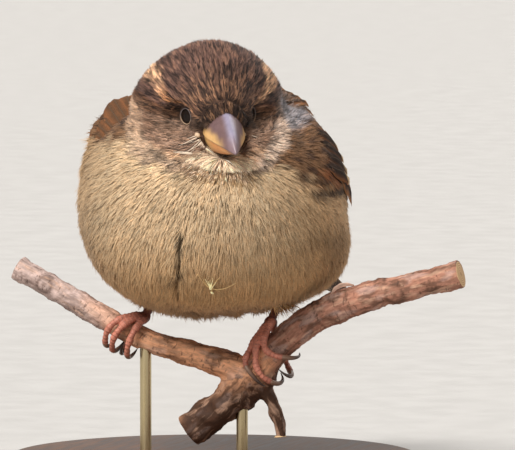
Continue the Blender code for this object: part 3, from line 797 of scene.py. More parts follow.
def lie(p, n):
    """The way the feathers lie at points on the skin."""
    left, forward, up = to_head(p)
    x, y, z = p.T
    away = unit(p - BILL_ROOT)
    head = (1 - smooth(head_reach(p), 17.5, 23.0))[:, None]
    chin = (0.75 * smooth(-up, 1.5, 3.0) * smooth(forward, 8, 11))[:, None]
    hanging = np.stack([0.11 * (left + CHIN_SHIFT), np.full(len(p), 0.2), np.full(len(p), -1.0)], axis=1)
    crown = blend(away + 0.35 * head_way(0, -1, 0), hanging @ HEAD_TURN.T, chin)
    side = (smooth(np.abs(x), 15, 27) * (1 - head[:, 0]))[:, None]
    way = away + np.array((0, 0.05, -0.35))
    for target, share in (
        ((0, 0.55, -0.8), side),
        ((0, 1.0, -0.35), (smooth(y, -2, 16) * smooth(z + 0.3 * y, 56, 74))[:, None]),
        ((0, 1.0, -0.25), (smooth(-z, -50, -40) * smooth(y, -24, 8))[:, None]),
        ((0, 1.0, -0.3), smooth(y, 14, 34)[:, None]),
        (crown, head),
    ):
        way = blend(way, target, share)
    for amount, scale, seed in ((0.16, 7.0, 40), (0.13, 2.4, 50)):
        way = way + amount * np.stack([waves(p, scale, seed + i) for i in range(3)], axis=1)
    from_line = x - np.interp(z, *zip(*PARTING))
    near = (y < -15) & (z > 45) & (z < 61)
    way[:, 0] += 0.7 * (np.sign(from_line) * np.exp(-np.abs(from_line) / 0.7) * near)
    for sign in (1, -1):
        reach, out = eye_reach(p, sign)
        way = way + out * (1.3 * np.exp(-np.maximum(reach - 2.0, 0) / 0.9))[:, None]
    return unit(flat(way, n))


COVER_ROWS = (-11, 0, 20, 40, 50, 58, 64)  # y of the rows below
COVER_LOW = {"left": (32, 20, 12, 7, 15, 31, 46), "right": (44, 34, 14, 7, 15, 31, 46)}


def wing_cover(p):
    """How far the wing's own feathers cover a place, from 0 to 1."""
    x, y, z = p.T
    angle = np.degrees(np.arctan2(z - np.interp(y, Wrap.AXIS_Y, Wrap.AXIS_Z), np.abs(x)))
    left, right = (np.interp(y, COVER_ROWS, COVER_LOW[side]) for side in SIDES)
    low = np.where(x < 0, right, left)
    high = np.interp(y, (-6, 0, 28, 32), (60, 95, 95, 72))
    cover = smooth(angle, low + 2, low + 8) * (1 - smooth(angle, high, high + 5))
    near_head = np.linalg.norm(p - HEAD_CENTRE, axis=1)
    reach = np.where(x > 0, 25.5, 23)
    return cover * smooth(y, -6, -1) * (1 - smooth(y, 58, 64)) * smooth(near_head, reach, reach + 4)


def tuft_sizes(p):
    """Length and width of the tufts, and how closely they stand."""
    up = to_head(p)[2]
    head = 1 - smooth(head_reach(p), 17.5, 22)
    length = 2.9 + 1.0 * smooth(-p[:, 2], -58, -42)
    length = toward(length, head, 2.1) - 0.2 * (head * smooth(up, 2, 8)) - 0.8 * face(p)
    width = toward(0.185, head, 0.165) - 0.02 * face(p)
    density = 1.0 + 0.8 * head + 0.8 * face(p)
    rear = smooth(p[:, 1], 24, 40)
    density = (density - 0.3 * rear) * (1 - 0.9 * wing_cover(p))
    return length, width + 0.06 * rear, density


STATIONS = (0.0, 0.5, 1.0)  # places along a tuft, with its width and its shade there: painted shade at the root, near the skin, partly the darker bases of real feathers; a little lighter at the tip
PROFILE = (0.6, 1.0, 0.0)
SHADES = (0.62, 0.96, 1.1)
RIDGE = 0.3  # how high a tuft's ridge stands for its width
TUFT_CORNERS = np.array((0, 3, 4, 1, 1, 4, 5, 2, 3, 6, 4, 4, 6, 5))  # of two quads and two triangles
TUFT_FACES = (4, 4, 3, 3)
PATCH = 0.0015  # half a tuft's patch on the OFBake map


def tuft_mesh(name, coat, some):
    """Thin ridged locks, each rising from the skin and bending over along it."""
    arrays = (coat.roots, coat.n, coat.way, coat.length, coat.width, coat.lift, coat.bend)
    p, n, way, length, width, lift, bend = (a[some] for a in arrays)
    colours, root_shade = coat.colour[some], coat.root_shade[some]
    count, each = len(p), 7
    side = np.cross(n, way)
    roll = RNG.normal(0, 0.45, count)[:, None]
    across = side * np.cos(roll) + n * np.sin(roll)
    up = np.cross(way, across)
    up *= np.sign((up * n).sum(axis=1))[:, None]
    points, tints, facing = (np.empty((count, each, 3)) for _ in range(3))
    facing[:] = (n + 0.45 * up)[:, None]
    for k in range(2):
        s = STATIONS[k]
        facing[:, 3 * k] -= 0.4 * across
        facing[:, 3 * k + 2] += 0.4 * across
        centre = p + way * (length * s)[:, None] + n * (lift * (1 - (1 - s) ** 2))[:, None]
        centre = centre + side * (bend * s * s)[:, None]
        half = across * (width * PROFILE[k] / 2)[:, None]
        points[:, 3 * k] = centre - half
        points[:, 3 * k + 1] = centre + up * (width * PROFILE[k] * RIDGE)[:, None]
        points[:, 3 * k + 2] = centre + half
        # painted shade at the root, partly the feather's darker base
        shade = 1 - (1 - SHADES[k]) * root_shade if k == 0 else np.full(count, SHADES[k])
        tints[:, 3 * k : 3 * k + 3] = (colours * shade[:, None])[:, None]
    points[:, 6] = p + way * length[:, None] + n * lift[:, None] + side * bend[:, None]
    tints[:, 6] = colours * SHADES[2]
    loops = (np.arange(count) * each)[:, None] + TUFT_CORNERS
    spot = np.array([(j - 1, 2 * STATIONS[k] - 1) for k in range(2) for j in range(3)] + [(0, 1)]) * PATCH
    corner_uv = coat.uv[some][:, None] + spot[TUFT_CORNERS][None]
    points, tints, facing = (a.reshape(-1, 3) for a in (points, tints, facing))
    mesh = mesh_from(name, points, loops.ravel(), np.tile(TUFT_FACES, count), corner_uv.reshape(-1, 2), tints)
    set_values(mesh, "custom_normal", "FLOAT_VECTOR", unit(facing))
    return mesh


STREAK_WIDTH = 0.34
STREAK_LENGTH = 1.7
RUFFLE_PLACE = np.array((13.5, 4.5, 86.0))  # where the nape's feathers stand up against the wing's
RUFFLE_REACH = 4.0
NASAL_LENGTH = 2.4  # of the dark feathers that lie forward over the bill's base
CHIN_EDGE = -7.3  # how low the chin's feathers reach


def chin_edge(p):
    """Where the chin's feathers stand over those below them."""
    _, forward, up = to_head(p)
    wide = 1 - smooth(chin_side(p), 5.4, 7.2)
    return wide * smooth(forward, 9, 12) * smooth(-up, 2.8, 3.8) * (1 - smooth(-up, 5.6, 6.2))


def under_chin(p):
    """Where the chin's feathers throw their shade on the breast."""
    _, forward, up = to_head(p)
    wide = 1 - smooth(chin_side(p), 5.6, 7.8)
    return wide * smooth(forward, 9, 12) * smooth(-up, 6.0, 6.8) * (1 - smooth(-up, 8.0, 9.2))


def head_streaks(p):
    """Random values from -1 to 1 in narrow cells that run along the head's feathers."""
    left, forward, up = to_head(p)
    turn = np.arctan2(left, up + 0.5)
    back = 11.0 - forward
    reach = np.sqrt(left**2 + (up + 0.5) ** 2 + back**2)
    lane = np.floor(turn * 12 / STREAK_WIDTH + 0.25 * waves(p, 3, 90))
    stagger = np.sin(lane * 12.9898) * 43758.5453 % 1
    row = np.floor(reach / STREAK_LENGTH + stagger * 5)
    return 2 * (np.sin(lane * 78.233 + row * 37.719) * 43758.5453 % 1) - 1


def coat_region(p):
    """A number for the part of the coat each tuft belongs to."""
    up = to_head(p)[2]
    x, y, z = p.T
    region = np.where(x > 8, 4, np.where(x < -8, 3, 2))
    region = np.where((z < 48) & (y < 25), 5, region)
    region = np.where((y > 4) & (z + 0.3 * y > 66), 6, region)
    region = np.where((y > 25) & (region != 6), 7, region)
    return np.where(head_reach(p) < 20, np.where(up > 3.5, 0, 1), region)


REGIONS = ("crown", "face", "breast_middle", "breast_right", "breast_left", "belly", "back", "vent")
HEAD_REGIONS = ("crown", "face")
BILL_WIDE, BILL_HIGH, BILL_UP = 3.7, 4.6, 0.1  # the bare oval in which the bill stands
EYE_BARE = 2.15  # no tuft has its root nearer to an eye's axis than this
EYE_CLEAR = 1.85  # nor its tip
LOCK = 8  # tufts in a lock
WARMER = np.array((1.0, 0.1, -0.9))  # what a warmer tint adds to red, green and blue
TUFTS = 235000
TUFTS_A_PIECE = 32500


def ragged(p):
    """Where the belly's lowest feathers hang in loose bunches, from 0 to 1."""
    _, y, z = p.T
    low = smooth(-z, -46, -41) * smooth(y, -24, -17) * (1 - smooth(y, 6, 14))
    return low * smooth(waves(p * np.array((1, 0.4, 0)), 6.0, 77), -0.3, 0.7)


def off_tail(ways):
    """Ways without the part of them that points along the tail."""
    return ways - (ways @ TAIL_WAY)[:, None] * TAIL_WAY


def inward_facing(p, n):
    """Whether the skin faces the tail's axis, as it does where the rump and wings end over the tail."""
    out = unit(off_tail(p - TAIL_ROOT))
    return ((n * out).sum(axis=1) < -0.1) | (n @ TAIL_WAY < -0.35)


class Coat:
    """The tufts as arrays with one row each: root, way out of the skin (n), way it lies, sizes and colour."""

    def __init__(self, surface):
        roots, n, uv = surface.scatter(tuft_sizes(surface.centres)[2], TUFTS)
        left, forward, up = to_head(roots)
        in_bill = (forward > 9.0) & ((left / BILL_WIDE) ** 2 + ((up - BILL_UP) / BILL_HIGH) ** 2 < 1)
        keep = ~in_bill & ~(inward_facing(roots, n) & (roots[:, 1] > 50))
        for sign in (1, -1):
            keep &= eye_reach(roots, sign)[0] > EYE_BARE
        self.roots, self.n, self.uv = roots[keep], n[keep], uv[keep]
        self.count = len(self.roots)
        self.local = to_head(self.roots)
        self.depth = coat_depth(self.roots)
        self.head = 1 - smooth(np.linalg.norm(self.roots - HEAD_CENTRE, axis=1), 18, 21)
        self.loose = ragged(self.roots)
        self.chin = chin_edge(self.roots)
        self.length, self.width, _ = tuft_sizes(self.roots)
        self.way = lie(self.roots, self.n)

    def gather(self):
        """Makes locks, where neighbours lean towards a common middle, and varies the tufts' sizes."""
        count = self.count
        clumps = RNG.choice(count, count // LOCK, replace=False)
        tree = KDTree(len(clumps))
        for i, k in enumerate(clumps):
            tree.insert(self.roots[k], i)
        tree.balance()
        own = np.fromiter((tree.find(p)[1] for p in self.roots), np.int64, count)
        self.clump_tone = RNG.normal(0, 1, len(clumps))[own] * (0.06 + 0.16 * self.head)
        self.clump_lift = RNG.normal(0, 0.1, len(clumps))[own]
        clump_turn = RNG.normal(0, 0.10, len(clumps))[own]
        length = self.length * np.exp(RNG.normal(0, 0.17, count))
        stray = RNG.random(count) < 0.05
        self.length = np.where(stray, length * 1.25, length)
        self.width = self.width * np.exp(RNG.normal(0, 0.2, count)) * np.where(stray, 0.55, 1.0)
        turn = clump_turn + RNG.normal(0, 0.09, count)
        way = unit(self.way + np.cross(self.n, self.way) * turn[:, None])
        run = way * self.length[:, None]
        pull = flat((self.roots + run)[clumps[own]] - self.roots - run, self.n)
        near = np.minimum(1, 1.2 / np.maximum(np.linalg.norm(pull, axis=1), 1e-6))
        self.way = unit(way + pull * (0.34 * near / self.length)[:, None])

    def raise_up(self):
        """Lifts the tufts through the coat's depth, and lets the belly's loose ones hang."""
        self.way = unit(self.way + 0.36 * self.loose[:, None] * np.array((0, -0.2, -1.0)))
        share = 0.74 - 0.22 * self.head + self.clump_lift + RNG.normal(0, 0.12, self.count)
        self.lift = np.minimum(self.depth * np.clip(share, 0.15, 1.3), 0.75 * self.length)

    def round_bill(self):
        """Lays short feathers forward over the bill's base, and ends the chin's in an edge."""
        left, forward, up = self.local
        past = np.hypot(left / BILL_WIDE, (up - BILL_UP) / BILL_HIGH)
        nasal = smooth(forward, 7.2, 8.6) * (1 - smooth(past, 1.25, 1.6)) * smooth(up, 0, 1.5)
        over_bill = np.stack((-0.1 * left, np.ones(self.count), -0.12 * up), axis=1)
        over_bill = unit(over_bill * np.array((1, -1, 1)) @ HEAD_TURN.T)
        self.way = unit(mix(self.way, nasal, over_bill))
        length = toward(self.length, nasal, NASAL_LENGTH)
        fall = np.maximum(-self.way @ head_way(0, 0, 1), 0.35)
        to_edge = np.clip((up - CHIN_EDGE - 0.02 * left**2) / fall, 0.8, 4.2)
        self.length = toward(length, self.chin, to_edge * np.exp(RNG.normal(0, 0.05, self.count)))
        self.lift = self.lift + 0.6 * self.chin

    def ruffle(self):
        """Makes the feathers stand up at one place on the nape."""
        share = bell(np.linalg.norm(self.roots - RUFFLE_PLACE, axis=1), RUFFLE_REACH) * (1 - 0.5 * self.head)
        self.lift = self.lift + 2.4 * share
        self.length = self.length + 1.2 * share

    def round_tail(self):
        """Lays long coverts over the root of the tail."""
        off = off_tail(self.roots - TAIL_ROOT)
        coverts = smooth(self.roots[:, 1], 40, 49)
        end = coverts * smooth(self.n @ TAIL_WAY, 0.5, 0.8)
        outward = unit(off_tail(unit(0.2 * self.n + off)))
        self.n = unit(mix(self.n, end, outward))
        way = unit(mix(self.way, end, unit(TAIL_WAY * 8 - off)))
        way = unit(way - 0.1 * self.n * (coverts * (1 - end))[:, None])
        spread = np.maximum((way * outward).sum(axis=1) + 0.05, 0) * coverts
        self.way = unit(way - spread[:, None] * outward)
        long_one = np.maximum(end, 0.6 * coverts)
        self.length = toward(self.length, long_one, 7.0 * np.exp(RNG.normal(0, 0.25, self.count)))
        self.lift = self.lift * (1 - 0.7 * end)

    def clear_eyes(self):
        """Shortens the tufts whose tips would cross an eye, and bends each a little sideways."""
        for sign in (1, -1):
            tips = self.roots + self.way * self.length[:, None] + self.n * self.lift[:, None]
            crossing = eye_reach(tips, sign)[0] < EYE_CLEAR
            self.length = np.where(crossing, self.length * 0.3, self.length)
        self.bend = RNG.normal(0, 0.08, self.count) * self.length

    def chin_painted_light(self):
        """Painted light: how much lighter the feathers in the chin's middle are made, where they puff out
        into the light.
        """
        left, forward, up = self.local
        middle = band(left + 1.5, 1.5, 4.0) * smooth(-up, 3.8, 4.6) * (1 - smooth(-up, 6.2, 7.0))
        return 1 + 0.3 * middle * smooth(forward, 11, 13)

    def gape_tones(self):
        """Dark and pale strokes among the feathers at the corners of the mouth."""
        left, forward, up = self.local
        corner = np.hypot(np.abs(left) - 8.0, (up + 3.7) * 0.9)
        shade = bell(corner, 3.4) * smooth(forward, 6, 8) * np.where(left < 0, 1.0, 0.4)
        chance = RNG.random(self.count)
        return 1 - 0.75 * shade * (chance < 0.5) + 0.35 * shade * (chance > 0.8)

    def groove(self):
        """1 in the parting down the belly, where shade is painted."""
        x, y, z = self.roots.T
        line = np.interp(z, *zip(*PARTING))
        return bell(x - line, 0.26) * (y < -15) * smooth(z, 47, 49) * smooth(-z, -60.5, -58.5)

    def paint(self):
        """Colours each tuft by the markings at its middle, made lighter or darker, with painted shadow under
        the chin, in the belly's parting and among its loose bunches, and painted light in the chin's middle.
        """
        _, forward, up = self.local
        head = self.head
        shown = self.roots + self.n * self.depth[:, None] + self.way * (self.length * 0.5)[:, None]
        streaks = head_streaks(shown)
        calm = smooth(3.0 - up, 0, 3.5)
        tone = 1 + self.clump_tone * (1 - 0.4 * calm) + 0.06 * waves(shown, 6, 60)
        uneven = RNG.normal(0, 1, self.count) * (0.1 + 0.3 * head * (1 - 0.3 * calm))
        tone = tone + uneven * (1 - 0.4 * self.chin) + head * (1.0 - 0.55 * calm) * streaks
        fringed = head * smooth(up, 1.5, 3.5) * smooth(streaks, 0.3, 0.8)
        fringed = fringed * (0.18 + 0.4 * smooth(forward, 2, 9))
        # painted shadow of the chin's feathers on the breast
        shadow = 0.65 * under_chin(self.roots) * (RNG.random(self.count) < 0.65)
        tone = tone * (1 - shadow) * self.chin_painted_light() * self.gape_tones()
        # painted shade in the belly's parting and among the loose bunches that hang under the belly
        tone = tone * (1 - 0.85 * self.groove()) * (1 - 0.25 * self.loose)
        colour = mix(markings(shown), fringed, CROWN_FRINGE) * np.clip(tone, 0.22, 2.3)[:, None]
        warm = RNG.normal(0, 0.04, self.count)[:, None]
        # the painted shadow is also made warmer
        self.colour = colour * (1 + (warm + 0.3 * shadow[:, None]) * WARMER)
        # how much of the root's painted shade each tuft takes, more on the head
        self.root_shade = 0.9 + 0.8 * head


def build_coat(surface, material):
    """The plumage of the head and body, cut in pieces by region."""
    coat = Coat(surface)
    coat.gather()
    coat.raise_up()
    coat.round_bill()
    coat.ruffle()
    coat.round_tail()
    coat.clear_eyes()
    coat.paint()
    region = coat_region(coat.roots)
    for r, name in enumerate(REGIONS):
        members = np.flatnonzero(region == r)
        parts = math.ceil(len(members) / TUFTS_A_PIECE)
        for k in range(parts):
            label = f"coat_{name}" if parts == 1 else f"coat_{name}_{k + 1}"
            slot = "plumage_head" if name in HEAD_REGIONS else "plumage_body"
            piece(label, tuft_mesh(label, coat, members[k::parts]), material, slot)


# ---------------------------------------------------------------- bill

# How far forward, half width, outer height, cutting edge height
UPPER_BILL = [
    (9.0, 4.5, 4.9, -0.6),
    (12.0, 4.3, 4.5, -0.8),
    (15.0, 3.35, 3.6, -0.95),
    (18.0, 2.15, 2.3, -1.02),
    (20.5, 1.15, 0.8, -1.1),
    (22.0, 0.48, -0.4, -1.2),
    (22.6, 0.12, -0.95, -1.25),
]
LOWER_BILL = [
    (9.0, 4.1, -5.0, -0.75),
    (12.0, 3.9, -4.6, -0.95),
    (15.0, 2.95, -3.7, -1.1),
    (18.0, 1.85, -2.6, -1.18),
    (20.4, 0.8, -1.95, -1.25),
    (21.0, 0.3, -1.75, -1.35),
]
UPPER_POWER = 1.2  # of the cosine and sine round a ring: more than 1 narrows the ridge
LOWER_POWER = 0.95
BILL_RINGS = 48
BILL_ARC = 41

# lilac-grey horn, and on the upper bill's ridge partly a painted highlight
BILL_LILAC_AND_HIGHLIGHT = srgb(144, 138, 160)
BILL_SIDE = srgb(106, 82, 82)
BILL_TIP = srgb(124, 98, 98)
BILL_YELLOW = srgb(206, 164, 106)
BILL_ORANGE = srgb(212, 150, 96)
BILL_DARK = srgb(84, 62, 58)


def bill_colours(p, upper):
    """Lilac-grey above, its band along the ridge partly a painted highlight, with a yellow base and edge,
    orange below, darker at the tip.
    """
    left, forward, up = to_head(p)
    if not upper:
        return paint(
            BILL_ORANGE,
            (1 - smooth(forward, 11, 15), BILL_YELLOW),
            (smooth(-up, 3.2, 4.6) * 0.5, BILL_LILAC_AND_HIGHLIGHT),
            (smooth(forward, 18.5, 21) * 0.7, BILL_TIP),
        )
    over = up - np.interp(forward, [row[0] for row in UPPER_BILL], [row[3] for row in UPPER_BILL])
    low = 1 - smooth(over + 0.12 * (forward - 11) + 0.25 * waves(p, 2.0, 31), 1.0, 2.9)
    low = low * (1 - smooth(forward, 16.0, 20.0))
    rim = (1 - smooth(over, 0.0, 0.22)) * smooth(forward, 12.5, 15)
    return paint(
        BILL_SIDE,
        # a band along the ridge: lilac-grey horn, partly a painted highlight
        (band(left, 0.2, 1.6) * 0.9, BILL_LILAC_AND_HIGHLIGHT),
        (low * 0.95, BILL_YELLOW),
        (smooth(forward, 17.5, 21.5) * 0.8, BILL_TIP),
        (rim * 0.6, BILL_DARK),
    )


def bill_half(stations, power):
    """Half rings from edge to edge over the outside, one behind the other."""
    points = []
    for ahead, half, outer, edge in resample(stations, BILL_RINGS):
        for j in range(BILL_ARC):
            a = math.pi * j / (BILL_ARC - 1)
            across = half * math.copysign(abs(math.cos(a)) ** power, math.cos(a))
            points.append(from_head(across, ahead, edge + (outer - edge) * math.sin(a) ** power))
    ends = [tuple(range(BILL_ARC)), tuple(range((BILL_RINGS - 1) * BILL_ARC, BILL_RINGS * BILL_ARC))]
    return points, ring_faces(BILL_RINGS, BILL_ARC) + ends


def horn_material(name, roughness):
    """Horn with faint growth lines along it."""
    m = Nodes(name)
    lines = m.noise(m.place(), 900, 4.0)
    blotch = m.noise(m.place(), 260, 3.0)
    tone = m.math("MULTIPLY", m.vary(lines, 0.93, 1.07), m.vary(blotch, 0.9, 1.08))
    m.bump(lines, 0.00005, 0.25)
    rough = m.vary(lines, roughness - 0.05, roughness + 0.07)
    return m.finish(m.scaled(m.attribute("tint"), tone), rough, Specular_IOR_Level=0.45)


def build_bill():
    """Upper and lower bill, closed on each other."""
    horn = horn_material("bill horn", 0.36)
    for name, stations, power in (
        ("bill_upper", UPPER_BILL, UPPER_POWER),
        ("bill_lower", LOWER_BILL, LOWER_POWER),
    ):
        mesh = plain_mesh(name, *bill_half(stations, power))
        set_tint(mesh, bill_colours(vertices(mesh), name == "bill_upper"))
        mesh.set_sharp_from_angle(angle=math.radians(60))
        piece(name, mesh, horn, name, name)


GAPE_PLACE = (5.7, 10.0, -0.9)  # left, forward, up
GAPE_SUNK = {"left": 1.3, "right": 0.0}  # how much deeper among the feathers each one sits
GAPE_SKIN = srgb(206, 178, 148)
BRISTLE_PALE = srgb(226, 208, 186)
BRISTLE_DARK = srgb(46, 33, 28)
BRISTLES = 34  # on each side
WISP_PLACE = np.array((7.1, -24.8, 46.3))
WISP = srgb(255, 244, 190)
WISP_BARB = srgb(216, 182, 124)
WISP_KNOTS = (((-0.2, 0.5), (0.1, -0.7)), ((0.05, -1.0), (0.6, -1.9)))  # across and up from its root
WISP_BARBS = (  # across and up of their tips, and how far they bow upward
    (5.3, 1.3, -0.9), (2.0, 3.1, 0.3), (-2.9, 4.1, -0.5),
    (-1.7, 2.6, -0.4), (1.0, -3.6, 0.2), (2.4, -1.9, 0.4),
)
LONG_BRISTLE = ((-7.3, 13.2, -4.0), (-11.2, 11.6, -4.1))


def build_gape():
    """The pale swollen corners of the mouth."""
    parts = []
    for side, sign in SIDES.items():
        middle = from_head(sign * (GAPE_PLACE[0] - GAPE_SUNK[side]), *GAPE_PLACE[1:])
        way = head_way(-sign * 0.35, 0.9, -0.1)
        line = [middle + way * d for d in (-0.8, -0.45, 0.0, 0.45, 0.8)]
        parts.append(tube(line, (0.2, 0.42, 0.56, 0.42, 0.2), 16))
    mesh = plain_mesh("gape", *join(parts))
    set_tint(mesh, GAPE_SKIN)
    piece("gape", mesh, lid_material(), "bill_lower")


class Strands:
    """Thin threads joined in one mesh, each with its own colour."""

    def __init__(self):
        self.parts, self.tints = [], []

    def add(self, line, radii, sides, tint):
        self.parts.append(tube(line, radii, sides))
        self.tints += [tint] * len(self.parts[-1][0])

    def place(self, name, material, slot):
        mesh = plain_mesh(name, *join(self.parts))
        set_tint(mesh, np.array(self.tints))
        piece(name, mesh, material, slot)


def build_bristles():
    """Stiff hair-like feathers that stand out round the corners of the bill."""
    rng = np.random.default_rng(7)
    strands = Strands()
    along = np.linspace(0, 1, 7)
    for sign in SIDES.values():
        for k in range(BRISTLES):
            t = (k + rng.random()) / BRISTLES
            start = from_head(sign * (5.6 - 2.4 * t), 9.8 + 2.6 * t, -0.9 - 4.0 * t)
            slope = math.radians(-12 - 62 * t + rng.normal(0, 9))
            way = head_way(sign * math.cos(slope), 0.25 + 0.3 * rng.random(), math.sin(slope))
            reach = rng.uniform(2.4, 5.2)
            sag = head_way(0, -1.0, -0.35) * reach * 0.32
            line = [start + unit(way) * reach * q + sag * q * q for q in along]
            tint = BRISTLE_PALE if rng.random() < 0.45 else BRISTLE_DARK
            strands.add(line, 0.13 * (1.12 - along), 5, tint)
    start, end = from_head(*LONG_BRISTLE[0]), from_head(*LONG_BRISTLE[1])
    along = np.linspace(0, 1, 9)
    for shift in (0.0, 0.25):
        bow = head_way(0, 0.35, shift)
        line = [start + (end - start) * q + bow * math.sin(q * 3) for q in along]
        strands.add(line, 0.19 * (1.1 - along), 6, BRISTLE_PALE)
    strands.place("bristles", horn_material("bristle", 0.5), "plumage_head")


def build_wisp(surface):
    """A loose pale down feather caught on the belly, with its barbs spread over the coat."""
    rng = np.random.default_rng(19)
    nearest = np.linalg.norm(surface.points - WISP_PLACE, axis=1).argmin()
    out = surface.normals[nearest]
    across = unit(np.cross((0, 0, 1), out))
    upward = np.cross(out, across)
    root = surface.points[nearest] + out * (coat_depth(surface.points[nearest][None])[0] + 0.35)
    q = np.linspace(0, 1, 9)[:, None]
    strands = Strands()

    def strand(start, end, bow, radius, taper, tint=WISP):
        line = start + (end - start) * q + upward * bow * 4 * q * (1 - q) - out * 0.35 * q * q
        strands.add(line, radius * taper(q[:, 0]), 6, tint)

    def at(side, height):
        return root + across * side + upward * height

    for start, end in WISP_KNOTS:
        strand(at(*start), at(*end), 0, 0.3, lambda t: np.sqrt(np.sin(0.1 + 2.9 * t)))
    for _ in range(6):
        way = math.radians(rng.uniform(50, 122))
        reach = rng.uniform(1.6, 3.0)
        end = at(math.cos(way) * reach, math.sin(way) * reach)
        strand(root, end, rng.normal(0, 0.12), 0.15, lambda t: 1.1 - t)
    for side, height, bow in WISP_BARBS:
        strand(root, at(side, height), bow, 0.085, lambda t: 1.15 - 0.7 * t, WISP_BARB)
    strands.place("belly_wisp", horn_material("down", 0.5), "plumage_body")


# ---------------------------------------------------------------- eyes

LID_LONG = 1.72  # half the length and half the width of the opening between the lids
LID_SHORT = 1.46
LID_TILT = math.radians(20)
LID_AROUND, LID_ACROSS = 64, 10  # points along a fold and round it
LID_THICK = 0.09
RIM_GROW, RIM_THICK = 0.3, 0.17  # of the second fold, outside the first
LID_PALE = srgb(98, 88, 86)
LID_CREAM = srgb(166, 138, 112)
LID_DARK = srgb(78, 60, 52)


def eye_material():
    """Nearly black, glossy as glass, with a hint of brown in it."""
    m = Nodes("eye")
    iris = m.noise(m.place(), 700, 2.0)
    tone = m.mix(m.ramp(iris, 0.35, 0.65), (0.006, 0.004, 0.0035), (0.013, 0.008, 0.006))
    return m.finish(tone, m.vary(iris, 0.05, 0.08), Specular_IOR_Level=0.12)


def lid_material():
    """Fine-grained bare skin."""
    m = Nodes("eyelid")
    grain = m.noise(m.place(), 4200, 2.0)
    m.bump(grain, 0.00008, 0.6)
    colour = m.scaled(m.attribute("tint"), m.vary(grain, 0.82, 1.12))
    return m.finish(colour, m.vary(grain, 0.5, 0.65), Specular_IOR_Level=0.35)


def lid_ring(sign, grow, thick, lift):
    """A closed fold of skin round the opening, lying on the eyeball."""
    centre, axis = eye_frame(sign)
    front = head_way(0, 1, 0)
    e1 = unit(front - front.dot(axis) * axis)
    e2 = np.cross(axis, e1) * sign
    e2 = e2 if e2[2] > 0 else -e2
    points = []
    for i in range(LID_AROUND):
        a = 2 * math.pi * i / LID_AROUND
        long_way, short_way = (LID_LONG + grow) * math.cos(a), (LID_SHORT + grow) * math.sin(a)
        u = -long_way * math.sin(LID_TILT) + short_way * math.cos(LID_TILT)
        v = long_way * math.cos(LID_TILT) + short_way * math.sin(LID_TILT)
        away = unit(e1 * u + e2 * v)
        depth = math.sqrt(max((EYE_RADIUS + lift) ** 2 - u * u - v * v, 0.1))
        middle = centre + e1 * u + e2 * v + axis * depth
        for j in range(LID_ACROSS):
            b = 2 * math.pi * j / LID_ACROSS
            points.append(middle + thick * (math.cos(b) * away * 1.25 + math.sin(b) * axis * 0.8))
    return points, ring_faces(LID_AROUND, LID_ACROSS, closed=True)


def lid_colours(p, sign):
    """Grey folds, cream below the eye and dark on the outer one."""
    low = smooth(-(to_head(p)[2] - EYE_PLACE[2]), -0.4, 1.0)
    return paint(LID_PALE, (low, LID_CREAM), (smooth(eye_reach(p, sign)[0], 1.78, 1.9), LID_DARK))


def build_eyes():
    """Eyeballs, each with two folds of lid round its opening."""
    shine, skin_like = eye_material(), lid_material()
    for side, sign in SIDES.items():
        bm = bmesh.new()
        bmesh.ops.create_uvsphere(bm, u_segments=64, v_segments=40, radius=EYE_RADIUS * MM)
        bmesh.ops.translate(bm, verts=bm.verts, vec=Vector(eye_frame(sign)[0]) * MM)
        mesh = bpy.data.meshes.new(f"eye_{side}")
        bm.to_mesh(mesh)
        bm.free()
        mesh.shade_smooth()
        piece(f"eye_{side}", mesh, shine, "eye", f"eye_{side}")
        folds = (lid_ring(sign, 0.0, LID_THICK, 0.1), lid_ring(sign, RIM_GROW, RIM_THICK, 0.0))
        mesh = plain_mesh(f"lids_{side}", *join(folds))
        set_tint(mesh, lid_colours(vertices(mesh), sign))
        piece(f"lids_{side}", mesh, skin_like, "plumage_head")


# ---------------------------------------------------------------- vanes


